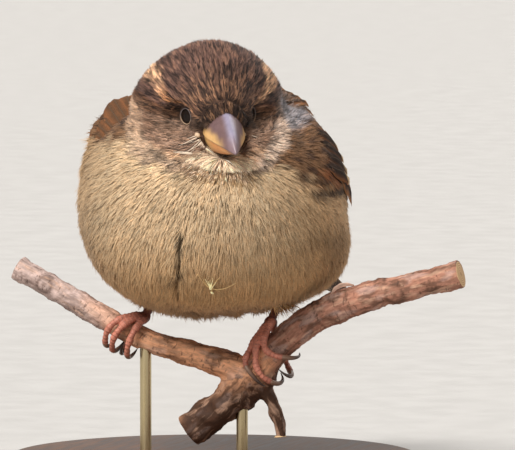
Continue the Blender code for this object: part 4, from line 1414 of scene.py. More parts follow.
class Vanes:
    """Collects feathers with a shaft and two webs, each a thin closed blade."""

    def __init__(self):
        self.points, self.loops, self.sizes, self.tints, self.vane, self.cells = [], [], [], [], [], []
        self.base = 0

    def add(self, grid, out, thick, tints, half, length):
        """One feather from a grid of points, root to tip and then edge to edge."""
        rows, columns = grid.shape[:2]
        across = np.linspace(-1, 1, columns)
        edge = (1 - 0.85 * np.abs(across) ** 3)[None, :, None]
        top = grid + out * thick / 2 * edge
        low = grid - out * thick / 2 * edge
        i, j = np.meshgrid(np.arange(rows - 1), np.arange(columns - 1), indexing="ij")
        a = (i * columns + j).ravel()
        quads = np.stack((a, a + 1, a + columns + 1, a + columns), axis=1)
        m = rows * columns
        rim = list(range(columns)) + [k * columns + columns - 1 for k in range(1, rows)]
        rim += [(rows - 1) * columns + k for k in range(columns - 2, -1, -1)]
        rim += [k * columns for k in range(rows - 2, 0, -1)]
        rim = np.array(rim)
        after = np.roll(rim, -1)
        sides = np.stack((after, rim, rim + m, after + m), axis=1)
        faces = np.concatenate((quads, quads[:, ::-1] + m, sides))
        self.points.append(np.concatenate((top.reshape(-1, 3), low.reshape(-1, 3))))
        self.loops.append(faces.ravel() + self.base)
        self.sizes.append(np.full(len(faces), 4))
        # the underside, a darker copy of the top: painted shade
        self.tints.append(np.concatenate((tints.reshape(-1, 3), tints.reshape(-1, 3) * 0.8)))
        along = np.linspace(0, 1, rows)
        u = np.broadcast_to(across[None, :], (rows, columns)).ravel()
        v = np.broadcast_to(along[:, None], (rows, columns)).ravel()
        ways = np.stack((u, v * length, np.full(m, half)), axis=1)
        self.vane.append(np.concatenate((ways, ways)))
        cell = np.stack(((u + 1) / 4, v), axis=1)
        self.cells.append(np.concatenate((cell, cell + np.array((0.5, 0))))[faces.ravel()])
        self.base += 2 * m

    def finish(self, name, material, slot, *nodes):
        """Makes one piece of all feathers, each with its own square of the map."""
        row = math.ceil(math.sqrt(len(self.points)))
        uv = []
        for k, cell in enumerate(self.cells):
            uv.append((np.array((k % row, k // row)) + 0.04 + 0.92 * cell) / row)
        mesh = mesh_from(
            name, np.concatenate(self.points), np.concatenate(self.loops), np.concatenate(self.sizes),
            np.concatenate(uv), np.concatenate(self.tints),
        )
        set_values(mesh, "vane", "FLOAT_VECTOR", np.concatenate(self.vane))
        return piece(name, mesh, material, slot, *nodes)


BARB_PITCH = 0.34
SHAFT = (0.11, 0.075, 0.05)


def vane_material(name):
    """Feather webs: barbs slant away from the shaft, which is a fine paler line."""
    m = Nodes(name)
    ways = m.add("ShaderNodeSeparateXYZ", Vector=m.attribute("vane", "Vector"))
    u, v, half = ways.outputs
    across = m.math("ABSOLUTE", u)
    slant = m.math("MULTIPLY", m.math("MULTIPLY", across, half), 1.1)
    wobble = m.noise(m.place(), 900, 2.0)
    barb = m.math("ADD", m.math("SUBTRACT", v, slant), m.math("MULTIPLY", wobble, 0.5))
    wave = m.math("SINE", m.math("MULTIPLY", barb, 2 * math.pi / BARB_PITCH))
    fine = m.noise(m.place(), 3600, 2.0)
    shaft = m.ramp(across, 0.02, 0.09, 1.0, 0.0)
    tone = m.math("ADD", m.math("MULTIPLY", wave, 0.09), m.vary(fine, 0.86, 1.14))
    colour = m.mix(m.math("MULTIPLY", shaft, 0.55), m.scaled(m.attribute("tint"), tone), SHAFT)
    height = m.math("ADD", m.math("MULTIPLY", wave, 0.4), m.math("MULTIPLY", shaft, 1.5))
    m.bump(height, 0.00009, 0.7)
    rough = m.vary(fine, 0.7, 0.86)
    return m.finish(colour, rough, Specular_IOR_Level=0.1)


# Kinds of feather: dark centre, web, fringe and tip, then how wide the centre, the fringe and the tip are
FEATHERS = {
    "lesser": ((56, 34, 22), (132, 76, 40), (146, 92, 56), (136, 92, 60), 0.45, 0.25, 0.12),
    "median": ((46, 33, 26), (84, 54, 36), (140, 92, 58), (206, 178, 140), 0.6, 0.2, 0.16),
    "greater": ((44, 32, 27), (70, 50, 40), (164, 112, 70), (178, 138, 98), 0.5, 0.36, 0.1),
    "tertial": ((40, 29, 25), (58, 42, 35), (178, 126, 82), (198, 156, 112), 0.6, 0.3, 0.08),
    "secondary": ((62, 47, 40), (78, 60, 50), (156, 110, 74), (150, 116, 88), 0.4, 0.34, 0.05),
    "primary": ((66, 51, 44), (80, 64, 55), (170, 138, 106), (120, 98, 82), 0.4, 0.2, 0.04),
    "scapular": ((40, 29, 25), (142, 94, 58), (158, 118, 82), (158, 118, 82), 0.45, 0.16, 0.08),
    "rectrix": ((74, 58, 50), (88, 70, 60), (160, 134, 108), (130, 106, 88), 0.5, 0.12, 0.05),
}


def feather_tints(kind, across, along, seed):
    """Colours over one feather's grid of places, across from -1 to 1 and along from 0 to 1."""
    *colours, centre, border, end = FEATHERS[kind]
    dark, web, fringe, tip = (srgb(*c) for c in colours)
    rng = np.random.default_rng(seed)
    ragged = 0.05 * np.sin(along * rng.uniform(20, 30) + rng.uniform(0, 6)) + 0.03 * np.sin(along * 67)
    off = np.abs(across) + ragged
    near_tip = np.maximum(off, (along - (1 - border * 0.4)) / (border * 0.4))
    at_end = along + 0.03 * np.cos(across * 5) + ragged * 0.5
    tints = paint(
        web,
        ((1 - smooth(off, centre - 0.2, centre + 0.12)).ravel(), dark),
        (smooth(near_tip, 1 - border * 1.25, 1 - border * 0.5).ravel(), fringe),
        (smooth(at_end, 1 - end * 1.3, 1 - end * 0.6).ravel(), tip),
    )
    return tints * rng.uniform(0.9, 1.1)


class Wrap:
    """The folded wings' outside, met by rays from all round at each distance along the body."""

    AXIS_Y = (-31, -19, 0, 22, 49, 66)
    AXIS_Z = (60, 62, 59, 54, 51, 46)

    def __init__(self):
        bm = bmesh.new()
        for name in ["trunk", "rump", "neck"] + WING_NODES["left"] + WING_NODES["right"]:
            bm.from_mesh(frame["nodes"][name].data)
        self.tree = BVHTree.FromBMesh(bm)
        bm.free()

    def at(self, sign, y, angle):
        """The place met at this angle above the level, the way out to it and its distance from the axis."""
        a = math.radians(angle)
        axis = Vector((0, y, float(np.interp(y, self.AXIS_Y, self.AXIS_Z)))) * MM
        out = Vector((sign * math.cos(a), 0, math.sin(a)))
        hit, _, _, _ = self.tree.ray_cast(axis + out * 80 * MM, -out)
        place = np.array(hit if hit else axis + out * 4 * MM) / MM
        return place, np.array(out), float(np.linalg.norm(place - np.array(axis) / MM))


# painted light on the right wing's front feathers
PAINTED_LIGHT_BROWN = srgb(112, 84, 62)
NECK_REACH = {1: 29.0, -1: 25.5}  # the neck's feathers cover the wing's this near the head's centre
SCAPULAR_REACH = 21.0


VANE_THICK = 0.16
NOTCH = 0.82  # how far out the web reaches where it is split
SHAFT_RISE = 0.07


def tip_taper(t, start, span, power):
    """Share of a feather's full width at t along it, rounded off over the span from start on."""
    return max(0.0, 1 - max(0.0, (t - start) / span) ** power) ** 0.5


def grid_places(rows, columns):
    """Places across a feather from -1 to 1 and along it from 0 to 1, for each point of its grid."""
    return np.meshgrid(np.linspace(-1, 1, columns), np.linspace(0, 1, rows))


def blade(wrap, sign, root, tip, half, seed, rise, tilt, point, rows, columns):
    """A feather's grid of points over the wing, and the way out of the wing at each."""
    rng = np.random.default_rng(seed)
    grid, out = (np.empty((rows, columns, 3)) for _ in range(2))
    split = rng.integers(rows // 2, rows - 2)
    for i in range(rows):
        t = i / (rows - 1)
        y = toward(root[0], t, tip[0])
        angle = root[1] + (tip[1] - root[1]) * t**0.9
        swell = min(1.0, (t / 0.25 + 0.25)) ** 0.6
        round_end = tip_taper(t, point, 1 - point, 2.4)
        width = half * swell * max(round_end, 0.1) * (1 + rng.normal(0, 0.02))
        _, _, radius = wrap.at(sign, y, angle)
        for j in range(columns):
            s = 2 * j / (columns - 1) - 1
            notch = NOTCH if i == split and abs(s) == 1 else 1.0
            step = math.degrees(s * width * notch / max(radius, 4))
            place, way, _ = wrap.at(sign, y, angle + step)
            over = rise[0] + (rise[1] - rise[0]) * t - tilt * s + 0.2 * half * 0.3 * (1 - s * s)
            over += SHAFT_RISE if j == columns // 2 else 0.0
            grid[i, j] = place + way * over
            out[i, j] = way
    return grid, out


def lay(wrap, vanes, sign, kind, root, tip, half, seed, rise=(-0.5, 0.3), tilt=0.12, point=0.5,
        rows=15, columns=7):
    """Lays one feather on the wing from (y, angle) to (y, angle), unless the neck covers it."""
    limit = SCAPULAR_REACH if kind == "scapular" else NECK_REACH[sign]
    if np.linalg.norm(wrap.at(sign, *tip)[0] - HEAD_CENTRE) < limit:
        return
    grid, out = blade(wrap, sign, root, tip, half, seed, rise, tilt, point, rows, columns)
    length = float(np.linalg.norm(grid[-1, columns // 2] - grid[0, columns // 2]))
    tints = feather_tints(kind, *grid_places(rows, columns), seed)
    # painted light: the right wing's front feathers made lighter and duller than the left's
    if sign < 0 and kind in ("lesser", "scapular"):
        tints = mix(tints, np.full(len(tints), 0.5), PAINTED_LIGHT_BROWN)
    vanes.add(grid, out, VANE_THICK, tints.reshape(rows, columns, 3), half, length)


def feather_row(wrap, vanes, sign, kind, count, roots, tips, half, seed, **how):
    """A row of like feathers between two ends: each end is ((y, angle), (y, angle))."""
    rng = np.random.default_rng(seed)
    for i in range(count):
        t = i / max(count - 1, 1)
        jitter = rng.normal(0, 0.7, 2)
        root = [toward(a, t, b) for a, b in zip(*roots)]
        tip = [toward(a, t, b) + move for a, b, move in zip(*tips, jitter)]
        lay(wrap, vanes, sign, kind, root, tip, half, seed * 100 + i, **how)


WING_LOW = {"left": 20, "right": 30}  # angle up to which the breast's feathers cover each wing's front
LONG_ONES = dict(rows=24, columns=9)


def lay_remiges(wrap, vanes, sign, seed):
    """The long feathers: primaries from the outermost upwards, then secondaries and tertials."""
    for i in range(8):
        t = i / 7
        lay(wrap, vanes, sign, "primary", (20, 12 + 14 * t), (66 - 15 * t, 52 - 12 * t), 2.7, seed * 10 + i,
            rise=(-0.9, -0.35 + 0.12 * i), tilt=0.16, point=0.72, **LONG_ONES)
    for i in range(6):
        t = i / 5
        lay(wrap, vanes, sign, "secondary", (14, 14 + 20 * t), (47 - 5 * t, 22 + 20 * t), 3.0, seed * 20 + i,
            rise=(-0.8, -0.1 + 0.1 * i), tilt=0.16, point=0.7, **LONG_ONES)
    for i in range(3):
        lay(wrap, vanes, sign, "tertial", (12 - 2 * i, 42 + 7 * i), (47 - 6 * i, 46 + 8 * i), 4.4 - 0.3 * i,
            seed * 30 + i, rise=(-0.5, 0.6 + 0.15 * i), tilt=0.2, point=0.55, **LONG_ONES)


def build_wing(wrap, side, sign, material):
    """Lays the rows from the wing tip forwards, so that each row covers the next one's roots."""
    vanes = Vanes()
    seed = 1 if sign > 0 else 2
    low = WING_LOW[side]
    lay_remiges(wrap, vanes, sign, seed)
    feather_row(wrap, vanes, sign, "greater", 10, ((0, low), (9, 60)), ((18, low - 3), (26, 58)), 2.8,
                seed * 40, rise=(-0.4, 0.75), tilt=0.2, rows=18)
    feather_row(wrap, vanes, sign, "median", 9, ((-6, low + 3), (3, 64)), ((4, low), (14, 60)), 2.5,
                seed * 50, rise=(-0.4, 0.9), tilt=0.16)
    feather_row(wrap, vanes, sign, "lesser", 9, ((-8, low + 6), (-4, 62)), ((-1, low + 4), (5, 63)), 2.1,
                seed * 60, rise=(-1.2, 0.7), tilt=0.12, rows=11)
    for k in range(4):
        feather_row(wrap, vanes, sign, "scapular", 7, ((17 - 5 * k, 60), (20 - 5 * k, 87)),
                    ((29 - 5.5 * k, 58), (31 - 5.5 * k, 85)), 2.3, seed * 70 + k,
                    rise=(-0.8, 0.9 + 0.1 * k), tilt=0.12)
    vanes.finish(f"wing_{side}_feathers", material, "plumage_wing", *WING_NODES[side])


TAIL_PAIRS = 6
TAIL_HALF = 2.5  # half a tail feather's width
TAIL_THICK = 0.18
TAIL_ROWS, TAIL_COLUMNS = 26, 9


def tail_feather(pair, sign, ahead, across, up, length):
    """A tail feather's grid of points; pair 0 is on top in the middle."""
    grid = np.empty((TAIL_ROWS, TAIL_COLUMNS, 3))
    for r in range(TAIL_ROWS):
        t = r / (TAIL_ROWS - 1)
        offset = sign * (0.35 + 0.42 * pair + (0.3 + 0.52 * pair) * t)
        width = TAIL_HALF * (0.7 + 0.3 * t) * max(tip_taper(t, 0.82, 0.18, 2.2), 0.12)
        for c in range(TAIL_COLUMNS):
            s = 2 * c / (TAIL_COLUMNS - 1) - 1
            x = offset + s * width
            roof = 0.9 * (1 - (x / 7) ** 2) * (1 - 0.4 * t)
            over = roof + 0.55 * (1 - 0.5 * t) - 0.17 * pair - 0.1 * sign * s
            over = over + (0.06 if c == TAIL_COLUMNS // 2 else 0)
            grid[r, c] = TAIL_ROOT + ahead * length * t + across * x + up * over
    return grid


def build_tail(material):
    """Twelve feathers, the middle pair on top and the outer ones stepped down beneath."""
    axis = TAIL_TIP - TAIL_ROOT
    ahead = unit(axis)
    across = unit(np.cross(ahead, (0, 0, 1)))
    up = np.cross(across, ahead)
    vanes = Vanes()
    for pair in range(TAIL_PAIRS):
        shorter = 1.4 if pair == TAIL_PAIRS - 1 else 0
        length = np.linalg.norm(axis) - 2.2 + 0.42 * pair - shorter
        for sign in (1, -1):
            grid = tail_feather(pair, sign, ahead, across, up, length)
            places = grid_places(TAIL_ROWS, TAIL_COLUMNS)
            tints = feather_tints("rectrix", *places, 900 + 2 * pair + (sign > 0)).reshape(grid.shape)
            vanes.add(grid, np.broadcast_to(up, grid.shape), TAIL_THICK, tints, TAIL_HALF, length)
    vanes.finish("tail_feathers", material, "plumage_tail", "tail")


# ---------------------------------------------------------------- perch

PERCH_Y = -2.0
# x, z and radius along each arm
LEFT_ARM = [
    (-45.0, 48.2, 2.75),
    (-36.6, 43.8, 2.75),
    (-29.2, 39.9, 2.8),
    (-25.6, 37.8, 2.8),
    (-14.3, 32.5, 2.7),
    (-3.3, 29.7, 2.9),
    (6.0, 26.9, 3.4),
    (9.4, 25.6, 3.8),
]
RIGHT_ARM = [
    (8.6, 24.6, 3.8),
    (11.4, 28.2, 3.6),
    (15.6, 32.5, 3.5),
    (23.0, 38.2, 3.5),
    (32.0, 42.2, 3.4),
    (40.8, 44.7, 3.2),
    (51.5, 47.4, 3.05),
    (57.0, 48.9, 3.0),
]
# where each arm is sawn off: x, z and radius there, and the way it points
SAWN = {
    "left": ((-45.0, 48.2), (-8.4, 4.4), 2.75),
    "right": ((57.0, 48.9), (5.5, 1.5), 3.0),
    "parent": ((-5.6, 13.0), (-3.2, -2.2), 3.8),
    "stub": ((15.8, 11.6), (0.4, -3.8), 1.4),
}
PARENT = [(9.4, 25.6, 3.8), (2.0, 19.0, 3.8), (-5.6, 13.0, 3.8)]
STUB = [(10.0, 22.0, 2.0), (13.6, 16.8, 1.6), (15.8, 11.6, 1.4)]
SAW_BACK = 0.8  # how far the saw cuts lie inside the solid's ends
KNOTS = (  # x, z, size and height of buds and scars
    (42.2, 44.2, 2.0, 0.7),
    (38.6, 46.6, 1.1, 0.5),
    (28.4, 43.6, 1.2, 0.45),
    (25.0, 41.0, 1.0, 0.35),
    (-37.5, 44.4, 1.7, 0.45),
    (-20.5, 34.0, 1.4, 0.3),
    (1.5, 29.2, 1.6, 0.35),
    (3.0, 18.5, 2.0, 0.35),
    (50.5, 46.0, 1.0, 0.3),
)
CRACKS = ((31.4, 43.0), (-22.0, 36.0), (24.6, 39.2))  # x and z where the bark is cracked round an arm
BARK_PALE = srgb(196, 172, 164)
# tan bark, painted lighter than it is: painted light where the body shades the branch
BARK_TAN_AND_LIGHT = srgb(244, 180, 138)
BARK_RED = srgb(164, 116, 96)
BARK_DARK = srgb(74, 50, 36)
BARK_PATCH = srgb(204, 164, 138)
BARK_STAIN = srgb(84, 56, 42)
BARK_FLECK = srgb(66, 44, 34)
SAP_WOOD, LATE_WOOD, HEART_WOOD = srgb(214, 180, 136), srgb(176, 134, 92), srgb(120, 84, 56)
GRIPS = ((-18, 34), (14, 31))  # x and z where the feet hold, and the bark is smooth
ARM_APART = 47  # added along each next arm, so that their grains differ
FLAKE_PALE = srgb(226, 190, 170)
FLAKE = ((27.9, -4.2, 44.0), (28.9, -4.6, 45.2), (30.2, -4.7, 45.9), (31.6, -4.5, 46.1), (32.9, -4.0, 45.9))


def arm_line(arm, count):
    """Points along the middle of an arm."""
    rows = np.array(resample(arm, count))
    return np.stack((rows[:, 0], np.full(count, PERCH_Y), rows[:, 1]), axis=1)


def follow(p, line):
    """How far points are from a line and how far along it, its length, its way there and the way off it."""
    steps = np.concatenate(([0], np.cumsum(np.linalg.norm(np.diff(line, axis=0), axis=1))))
    reach = np.linalg.norm(p[:, None] - line[None], axis=2)
    nearest = reach.argmin(axis=1)
    ahead = unit(np.gradient(line, axis=0))[nearest]
    offset = p - line[nearest]
    extra = (offset * ahead).sum(axis=1)
    return reach.min(axis=1), steps[nearest] + extra, steps[-1], ahead, offset - extra[:, None] * ahead


def bark_places(p):
    """Distance along the nearest arm and the way out from it, for a grain that follows the wood."""
    best = np.full(len(p), 99.0)
    place = np.zeros((len(p), 3))
    for k, arm in enumerate((LEFT_ARM, RIGHT_ARM, PARENT, STUB)):
        reach, run, _, ahead, offset = follow(p, arm_line(arm, 70))
        up = np.cross(ahead, (0, 1, 0))
        here = np.stack((run + ARM_APART * k, offset[:, 1], (offset * up).sum(axis=1)), axis=1)
        closer = reach < best
        best = np.where(closer, reach, best)
        place = np.where(closer[:, None], here, place)
    return place


def on_parent(p):
    """1 on the thick parent, which has darker and rougher bark."""
    x, _, z = p.T
    return smooth(-z + 0.2 * x, -25, -19) * smooth(x + 10, 0, 6)


def perch_colours(p):
    """The bark: pale on the left arm, red on the right one, tan with painted light between, blotched with
    dark along the grain, with painted shade under the arms.
    """
    x, _, z = p.T
    streaks = bark_places(p) * np.array((0.3, 1, 1))
    parent = on_parent(p)
    fork = 1 - smooth(np.hypot(x - 8, z - 26), 6, 12)
    blotch = smooth(waves(streaks, 1.8, 82) + 0.4 * waves(streaks, 0.7, 89), 0.15, 0.6)
    speckled = 0.4 + 0.25 * fork + 0.2 * smooth(x, 12, 20) + 0.25 * parent
    # painted shade on the arms' undersides
    under = smooth(-(z - np.interp(x, (-45, 9, 57), (48, 26, 49))), 0.5, 2.8)
    colour = paint(
        BARK_TAN_AND_LIGHT,
        (smooth(-x + 3 * waves(p, 7, 81), 16, 30), BARK_PALE),
        (smooth(x + 3 * waves(p, 7, 81), 8, 18), BARK_RED),
        (parent, BARK_DARK),
        (blotch * speckled, BARK_DARK),
        (smooth(waves(streaks, 2.8, 83), 0.35, 0.9) * 0.35, BARK_PALE * (1 - 0.45 * parent)[:, None]),
        (under * 0.2, BARK_DARK),
    )
    for knot_x, knot_z, size, _ in KNOTS:
        reach = np.hypot(x - knot_x, z - knot_z) / size
        scar = bell(reach - 0.95, 0.3) + bell(reach, 0.35)
        colour = mix(colour, np.clip(scar, 0, 1) * 0.6, BARK_DARK)
    return mix(colour, cracked(p) * 0.7, BARK_DARK)


def cracked(p):
    """How near each point is to one of the cracks round the arms."""
    along = bark_places(p)[:, 0]
    total = np.zeros(len(p))
    for x, z in CRACKS:
        place = bark_places(np.array(((x, PERCH_Y, z),)))[0, 0]
        total += bell(along + 0.3 * waves(p, 2.5, 88) - place, 0.22)
    return np.clip(total, 0, 1)


def bark_material():
    """Bark with patches, dark flecks and a grain along the wood."""
    m = Nodes("bark")
    places = m.attribute("bark", "Vector")
    along, round_it = m.place((0.22, 1, 1), places), m.place((1.6, 0.6, 0.6), places)
    grain = m.noise(along, 1500, 4.0, 0.62)
    patches = m.noise(along, 620, 3.0, 0.6)
    flecks = m.noise(round_it, 900, 3.0, 0.6, 0.4)
    colour = m.attribute("tint")
    colour = m.mix(m.ramp(patches, 0.5, 0.66, 0.0, 0.5), colour, BARK_PATCH)
    colour = m.mix(m.ramp(patches, 0.48, 0.34, 0.0, 0.4), colour, BARK_STAIN)
    colour = m.mix(m.ramp(flecks, 0.59, 0.67, 0.0, 0.6), colour, BARK_FLECK)
    colour = m.scaled(colour, m.vary(grain, 0.74, 1.2))
    height = m.math("ADD", grain, m.math("MULTIPLY", flecks, -0.8))
    m.bump(height, 0.0003, 0.7)
    return m.finish(colour, m.vary(grain, 0.68, 0.88), Specular_IOR_Level=0.3)


def sawn_material():
    """Sawn end grain with its rings."""
    m = Nodes("sawn wood")
    ring = m.attribute("ring", "Fac")
    wobble = m.noise(m.place(), 500, 3.0)
    wave = m.math("SINE", m.math("ADD", m.math("MULTIPLY", ring, 13.0), m.math("MULTIPLY", wobble, 3.0)))
    colour = m.mix(m.ramp(wave, -0.6, 0.8), SAP_WOOD, LATE_WOOD)
    colour = m.mix(m.ramp(ring, 0.25, 0.5, 0.7, 0.0), colour, HEART_WOOD)
    m.bump(m.noise(m.place(), 2600, 2.0), 0.0001, 0.6)
    return m.finish(colour, m.vary(wobble, 0.7, 0.85))


def saw_off(bm, place, way):
    """Cuts one end flat and closes it."""
    near = [f for f in bm.faces if (f.calc_center_median() - place).length < 8 * MM]
    geometry = list({v for f in near for v in f.verts} | {e for f in near for e in f.edges}) + near
    cut = bmesh.ops.bisect_plane(bm, geom=geometry, plane_co=place, plane_no=way, clear_outer=True)
    edges = [g for g in cut["geom_cut"] if isinstance(g, bmesh.types.BMEdge)]
    bmesh.ops.holes_fill(bm, edges=edges, sides=0)


def bark_height(p):
    """How far the bark stands out, with furrows, cracks and knots, and flatter where the feet hold."""
    x, y, z = p.T
    parent = on_parent(p)
    fine = 0.09 * waves(p, 1.6, 85) + 0.05 * waves(p, 0.9, 86)
    rough = 0.16 * (1 + 1.8 * parent) * waves(p, 4.5, 84) + fine * (1 - 0.4 * parent)
    furrows = np.abs(waves(bark_places(p) * np.array((0.25, 1, 1)), 2.6, 87))
    rough = rough - 0.12 * (1 - smooth(furrows, 0.0, 0.14)) - 0.25 * cracked(p)
    front = smooth(-(y - PERCH_Y), -1.0, 1.5)
    for knot_x, knot_z, size, height in KNOTS:
        reach = np.hypot(x - knot_x, z - knot_z)
        rough = rough + height * bell(reach, size) * (0.4 + 0.6 * front)
        rough = rough - 0.6 * height * bell(reach, 0.35 * size) * front
    gripped = np.max([1 - smooth(np.hypot(x - at_x, z - at_z), 4.5, 7.5) for at_x, at_z in GRIPS], axis=0)
    return np.clip(rough * (1 - 0.7 * gripped) - 0.05, -0.5, 0.8)


def saw_ends(mesh):
    """Cuts the arms flat, and returns a disc for each cut and its middle."""
    discs, places = [], []
    with edited(mesh) as bm:
        for (x, z), (dx, dz), radius in SAWN.values():
            way = Vector((dx, 0, dz)).normalized()
            place = Vector((x, PERCH_Y, z)) * MM - way * SAW_BACK * MM
            saw_off(bm, place, way)
            line = [np.array(place + way * d * MM) / MM for d in (-0.3, 0.0, 0.06)]
            discs.append(tube(line, [radius * 0.8, radius * 0.93, radius * 0.86], 40))
            places.append(np.array(place) / MM)
    return discs, places


def build_perch():
    """The branch, its lifted flake of bark and its sawn ends."""
    mesh = remeshed("perch", node_mesh("perch_branch"), 0.4, 2)
    p, n = vertices(mesh), normals(mesh)
    set_vertices(mesh, p + n * bark_height(p)[:, None])
    discs, places = saw_ends(mesh)
    mesh.shade_smooth()
    mesh.set_sharp_from_angle(angle=math.radians(60))
    flake = plain_mesh("perch_flake", *tube(FLAKE, (0.15, 0.5, 0.7, 0.6, 0.2), 16, 0.22))
    set_tint(mesh, perch_colours(vertices(mesh)))
    set_tint(flake, FLAKE_PALE)
    for name, part, nodes in (("perch", mesh, ["perch_branch"]), ("perch_flake", flake, [])):
        set_values(part, "bark", "FLOAT_VECTOR", bark_places(vertices(part)) * MM)
        piece(name, part, bark_material(), "bark", *nodes)
    cut = plain_mesh("perch_ends", *join(discs))
    p = vertices(cut)
    set_values(cut, "ring", "FLOAT", np.min([np.linalg.norm(p - place, axis=1) for place in places], axis=0))
    cut.set_sharp_from_angle(angle=math.radians(40))
    piece("perch_ends", cut, sawn_material(), "bark")


# ---------------------------------------------------------------- feet

FEET = {
    "right": {
        "arm": LEFT_ARM,
        "x": -16.8,
        "tone": 1.0,
        "heel": (-12.0, 4.5, 46.5),
        "toes": {  # offsets along the arm at root and tip, sideways bow, angles round the bark, reach
            "inner": (0.6, 0.5, -0.4, 74, -58, 1.3),
            "middle": (-0.6, -3.2, -0.6, 76, -72, 1.5),
            "outer": (-1.6, -5.0, -0.8, 74, -50, 1.4),
            "hind": (0.0, -2.2, -0.6, 104, 236, 2.2),
        },
    },
    "left": {
        "arm": RIGHT_ARM,
        "x": 16.6,
        # painted light: the left foot's colours are made lighter, where the belly shades it
        "tone": 1.15,
        "heel": (15.9, 4.5, 46.5),
        "toes": {
            "inner": (-1.4, -9.0, 0.0, 70, 4, 0.5),
            "middle": (-0.4, -7.2, -1.2, 66, -54, 0.9),
            "outer": (0.9, -1.6, -2.2, 66, -36, 0.5),
            "hind": (0.2, -4.6, 0.0, 106, 236, 1.8),
        },
    },
}
GAP = 0.3
TOE_RADIUS = 0.82
PAD_RADIUS = 1.45
CLAW_RADIUS = 0.5
CLAW_ANGLE = 62
TARSUS_RADIUS = 0.85
FOOT_VOXEL = 0.17
TOE_SKIN = srgb(184, 116, 96)
# painted shade between the scales and under the toes; also the darker toe ends
TOE_DARK = srgb(88, 48, 38)
TARSUS_SKIN = srgb(112, 62, 48)
CLAW_BASE = srgb(132, 102, 84)
CLAW_TIP = srgb(72, 56, 48)


class Grip:
    """Places round one arm of the perch, for a foot to close on."""

    def __init__(self, foot, tree):
        self.tree = tree
        line = arm_line(foot["arm"], 120)
        nearest = int(np.argmin(np.abs(line[:, 0] - foot["x"])))
        self.centre = line[nearest]
        along = unit(line[min(nearest + 4, len(line) - 1)] - line[nearest - 4])
        self.along = -along if along[0] < 0 else along
        self.front = np.array((0.0, -1.0, 0.0))
        up = np.cross(self.front, self.along)
        self.up = -up if up[2] < 0 else up

    def at(self, offset, angle, clear):
        """A point that far off the bark: an angle of 90 is on top and 0 at the front."""
        a = math.radians(angle)
        centre = self.centre + self.along * offset
        out = self.up * math.sin(a) + self.front * math.cos(a)
        hit, _, _, _ = self.tree.ray_cast(Vector((centre + out * 12) * MM), Vector(-out), 12 * MM)
        surface = np.array(hit) / MM if hit else centre + out * 3
        return surface + out * clear


def toe_line(grip, spec, count):
    """A toe's middle line, from its root down round the bark."""
    root, tip, bow, first, last, reach = spec
    line = []
    for i in range(count):
        t = i / (count - 1)
        offset = toward(root, math.sin(t * math.pi / 2), tip) + bow * math.sin(t * math.pi)
        clear = GAP + TOE_RADIUS * 1.12 + 0.5 * (1 - t) ** 2 + reach * t**2
        line.append(grip.at(offset, toward(first, t, last), clear))
    return np.array(line)


def claw_line(grip, spec, toe, count):
    """A claw's middle line: a curve from the toe's end to the bark."""
    _, tip, bow, first, last, _ = spec
    ahead = unit(toe[-1] - toe[-2])
    start = toe[-1] - ahead * 0.2
    way = math.copysign(1, last - first)
    end = grip.at(tip - bow, last + way * CLAW_ANGLE, GAP + CLAW_RADIUS)
    reach = np.linalg.norm(end - start)
    above = grip.at(tip - bow, last + way * CLAW_ANGLE * 0.75, GAP + 0.36 * reach)
    bend = start + ahead * reach * 0.4
    line = []
    for i in range(count):
        t = i / (count - 1)
        u = 1 - t
        line.append(u**3 * start + 3 * u * u * t * bend + 3 * u * t * t * above + t**3 * end)
    return line


def scales(along, pitch):
    """Overlapping scutes: each rises slowly and drops at its end."""
    part = (along / pitch) % 1
    return part**2 - 0.35


SCALE_PITCH = 0.85
TOE_POINTS = 34
JOINTS = (0.34, 0.66, 0.94)  # places of the pads along a toe


def toe_parts(grip, line):
    """A toe as a tube with a pad under each joint."""
    last = len(line) - 1
    t = np.linspace(0, 1, len(line))
    parts = [tube(line, TOE_RADIUS * (1 + 0.11 * np.cos(t * 6 * math.pi)) * (1.06 - 0.28 * t), 18)]
    for k, joint in enumerate(JOINTS):
        i = int(joint * last)
        inward = unit(grip.centre - line[i])
        inward = unit(inward - inward.dot(grip.along) * grip.along)
        ahead = unit(line[min(i + 1, last)] - line[i - 1])
        middle = line[i] + inward * 0.28
        size = 0.78 - 0.07 * k
        parts.append(tube([middle - ahead * 0.9, middle, middle + ahead * 0.9], [0.3, size, 0.3], 14))
    return parts


def toe_runs(p, lines):
    """How far points are along the nearest toe, in millimetres and for its whole length."""
    best, run, end = np.full(len(p), 99.0), np.zeros(len(p)), np.zeros(len(p))
    for line in lines:
        reach, here, length, _, _ = follow(p, line)
        closer = reach < best
        best = np.where(closer, reach, best)
        run = np.where(closer, here, run)
        end = np.where(closer, here / length, end)
    return run, end


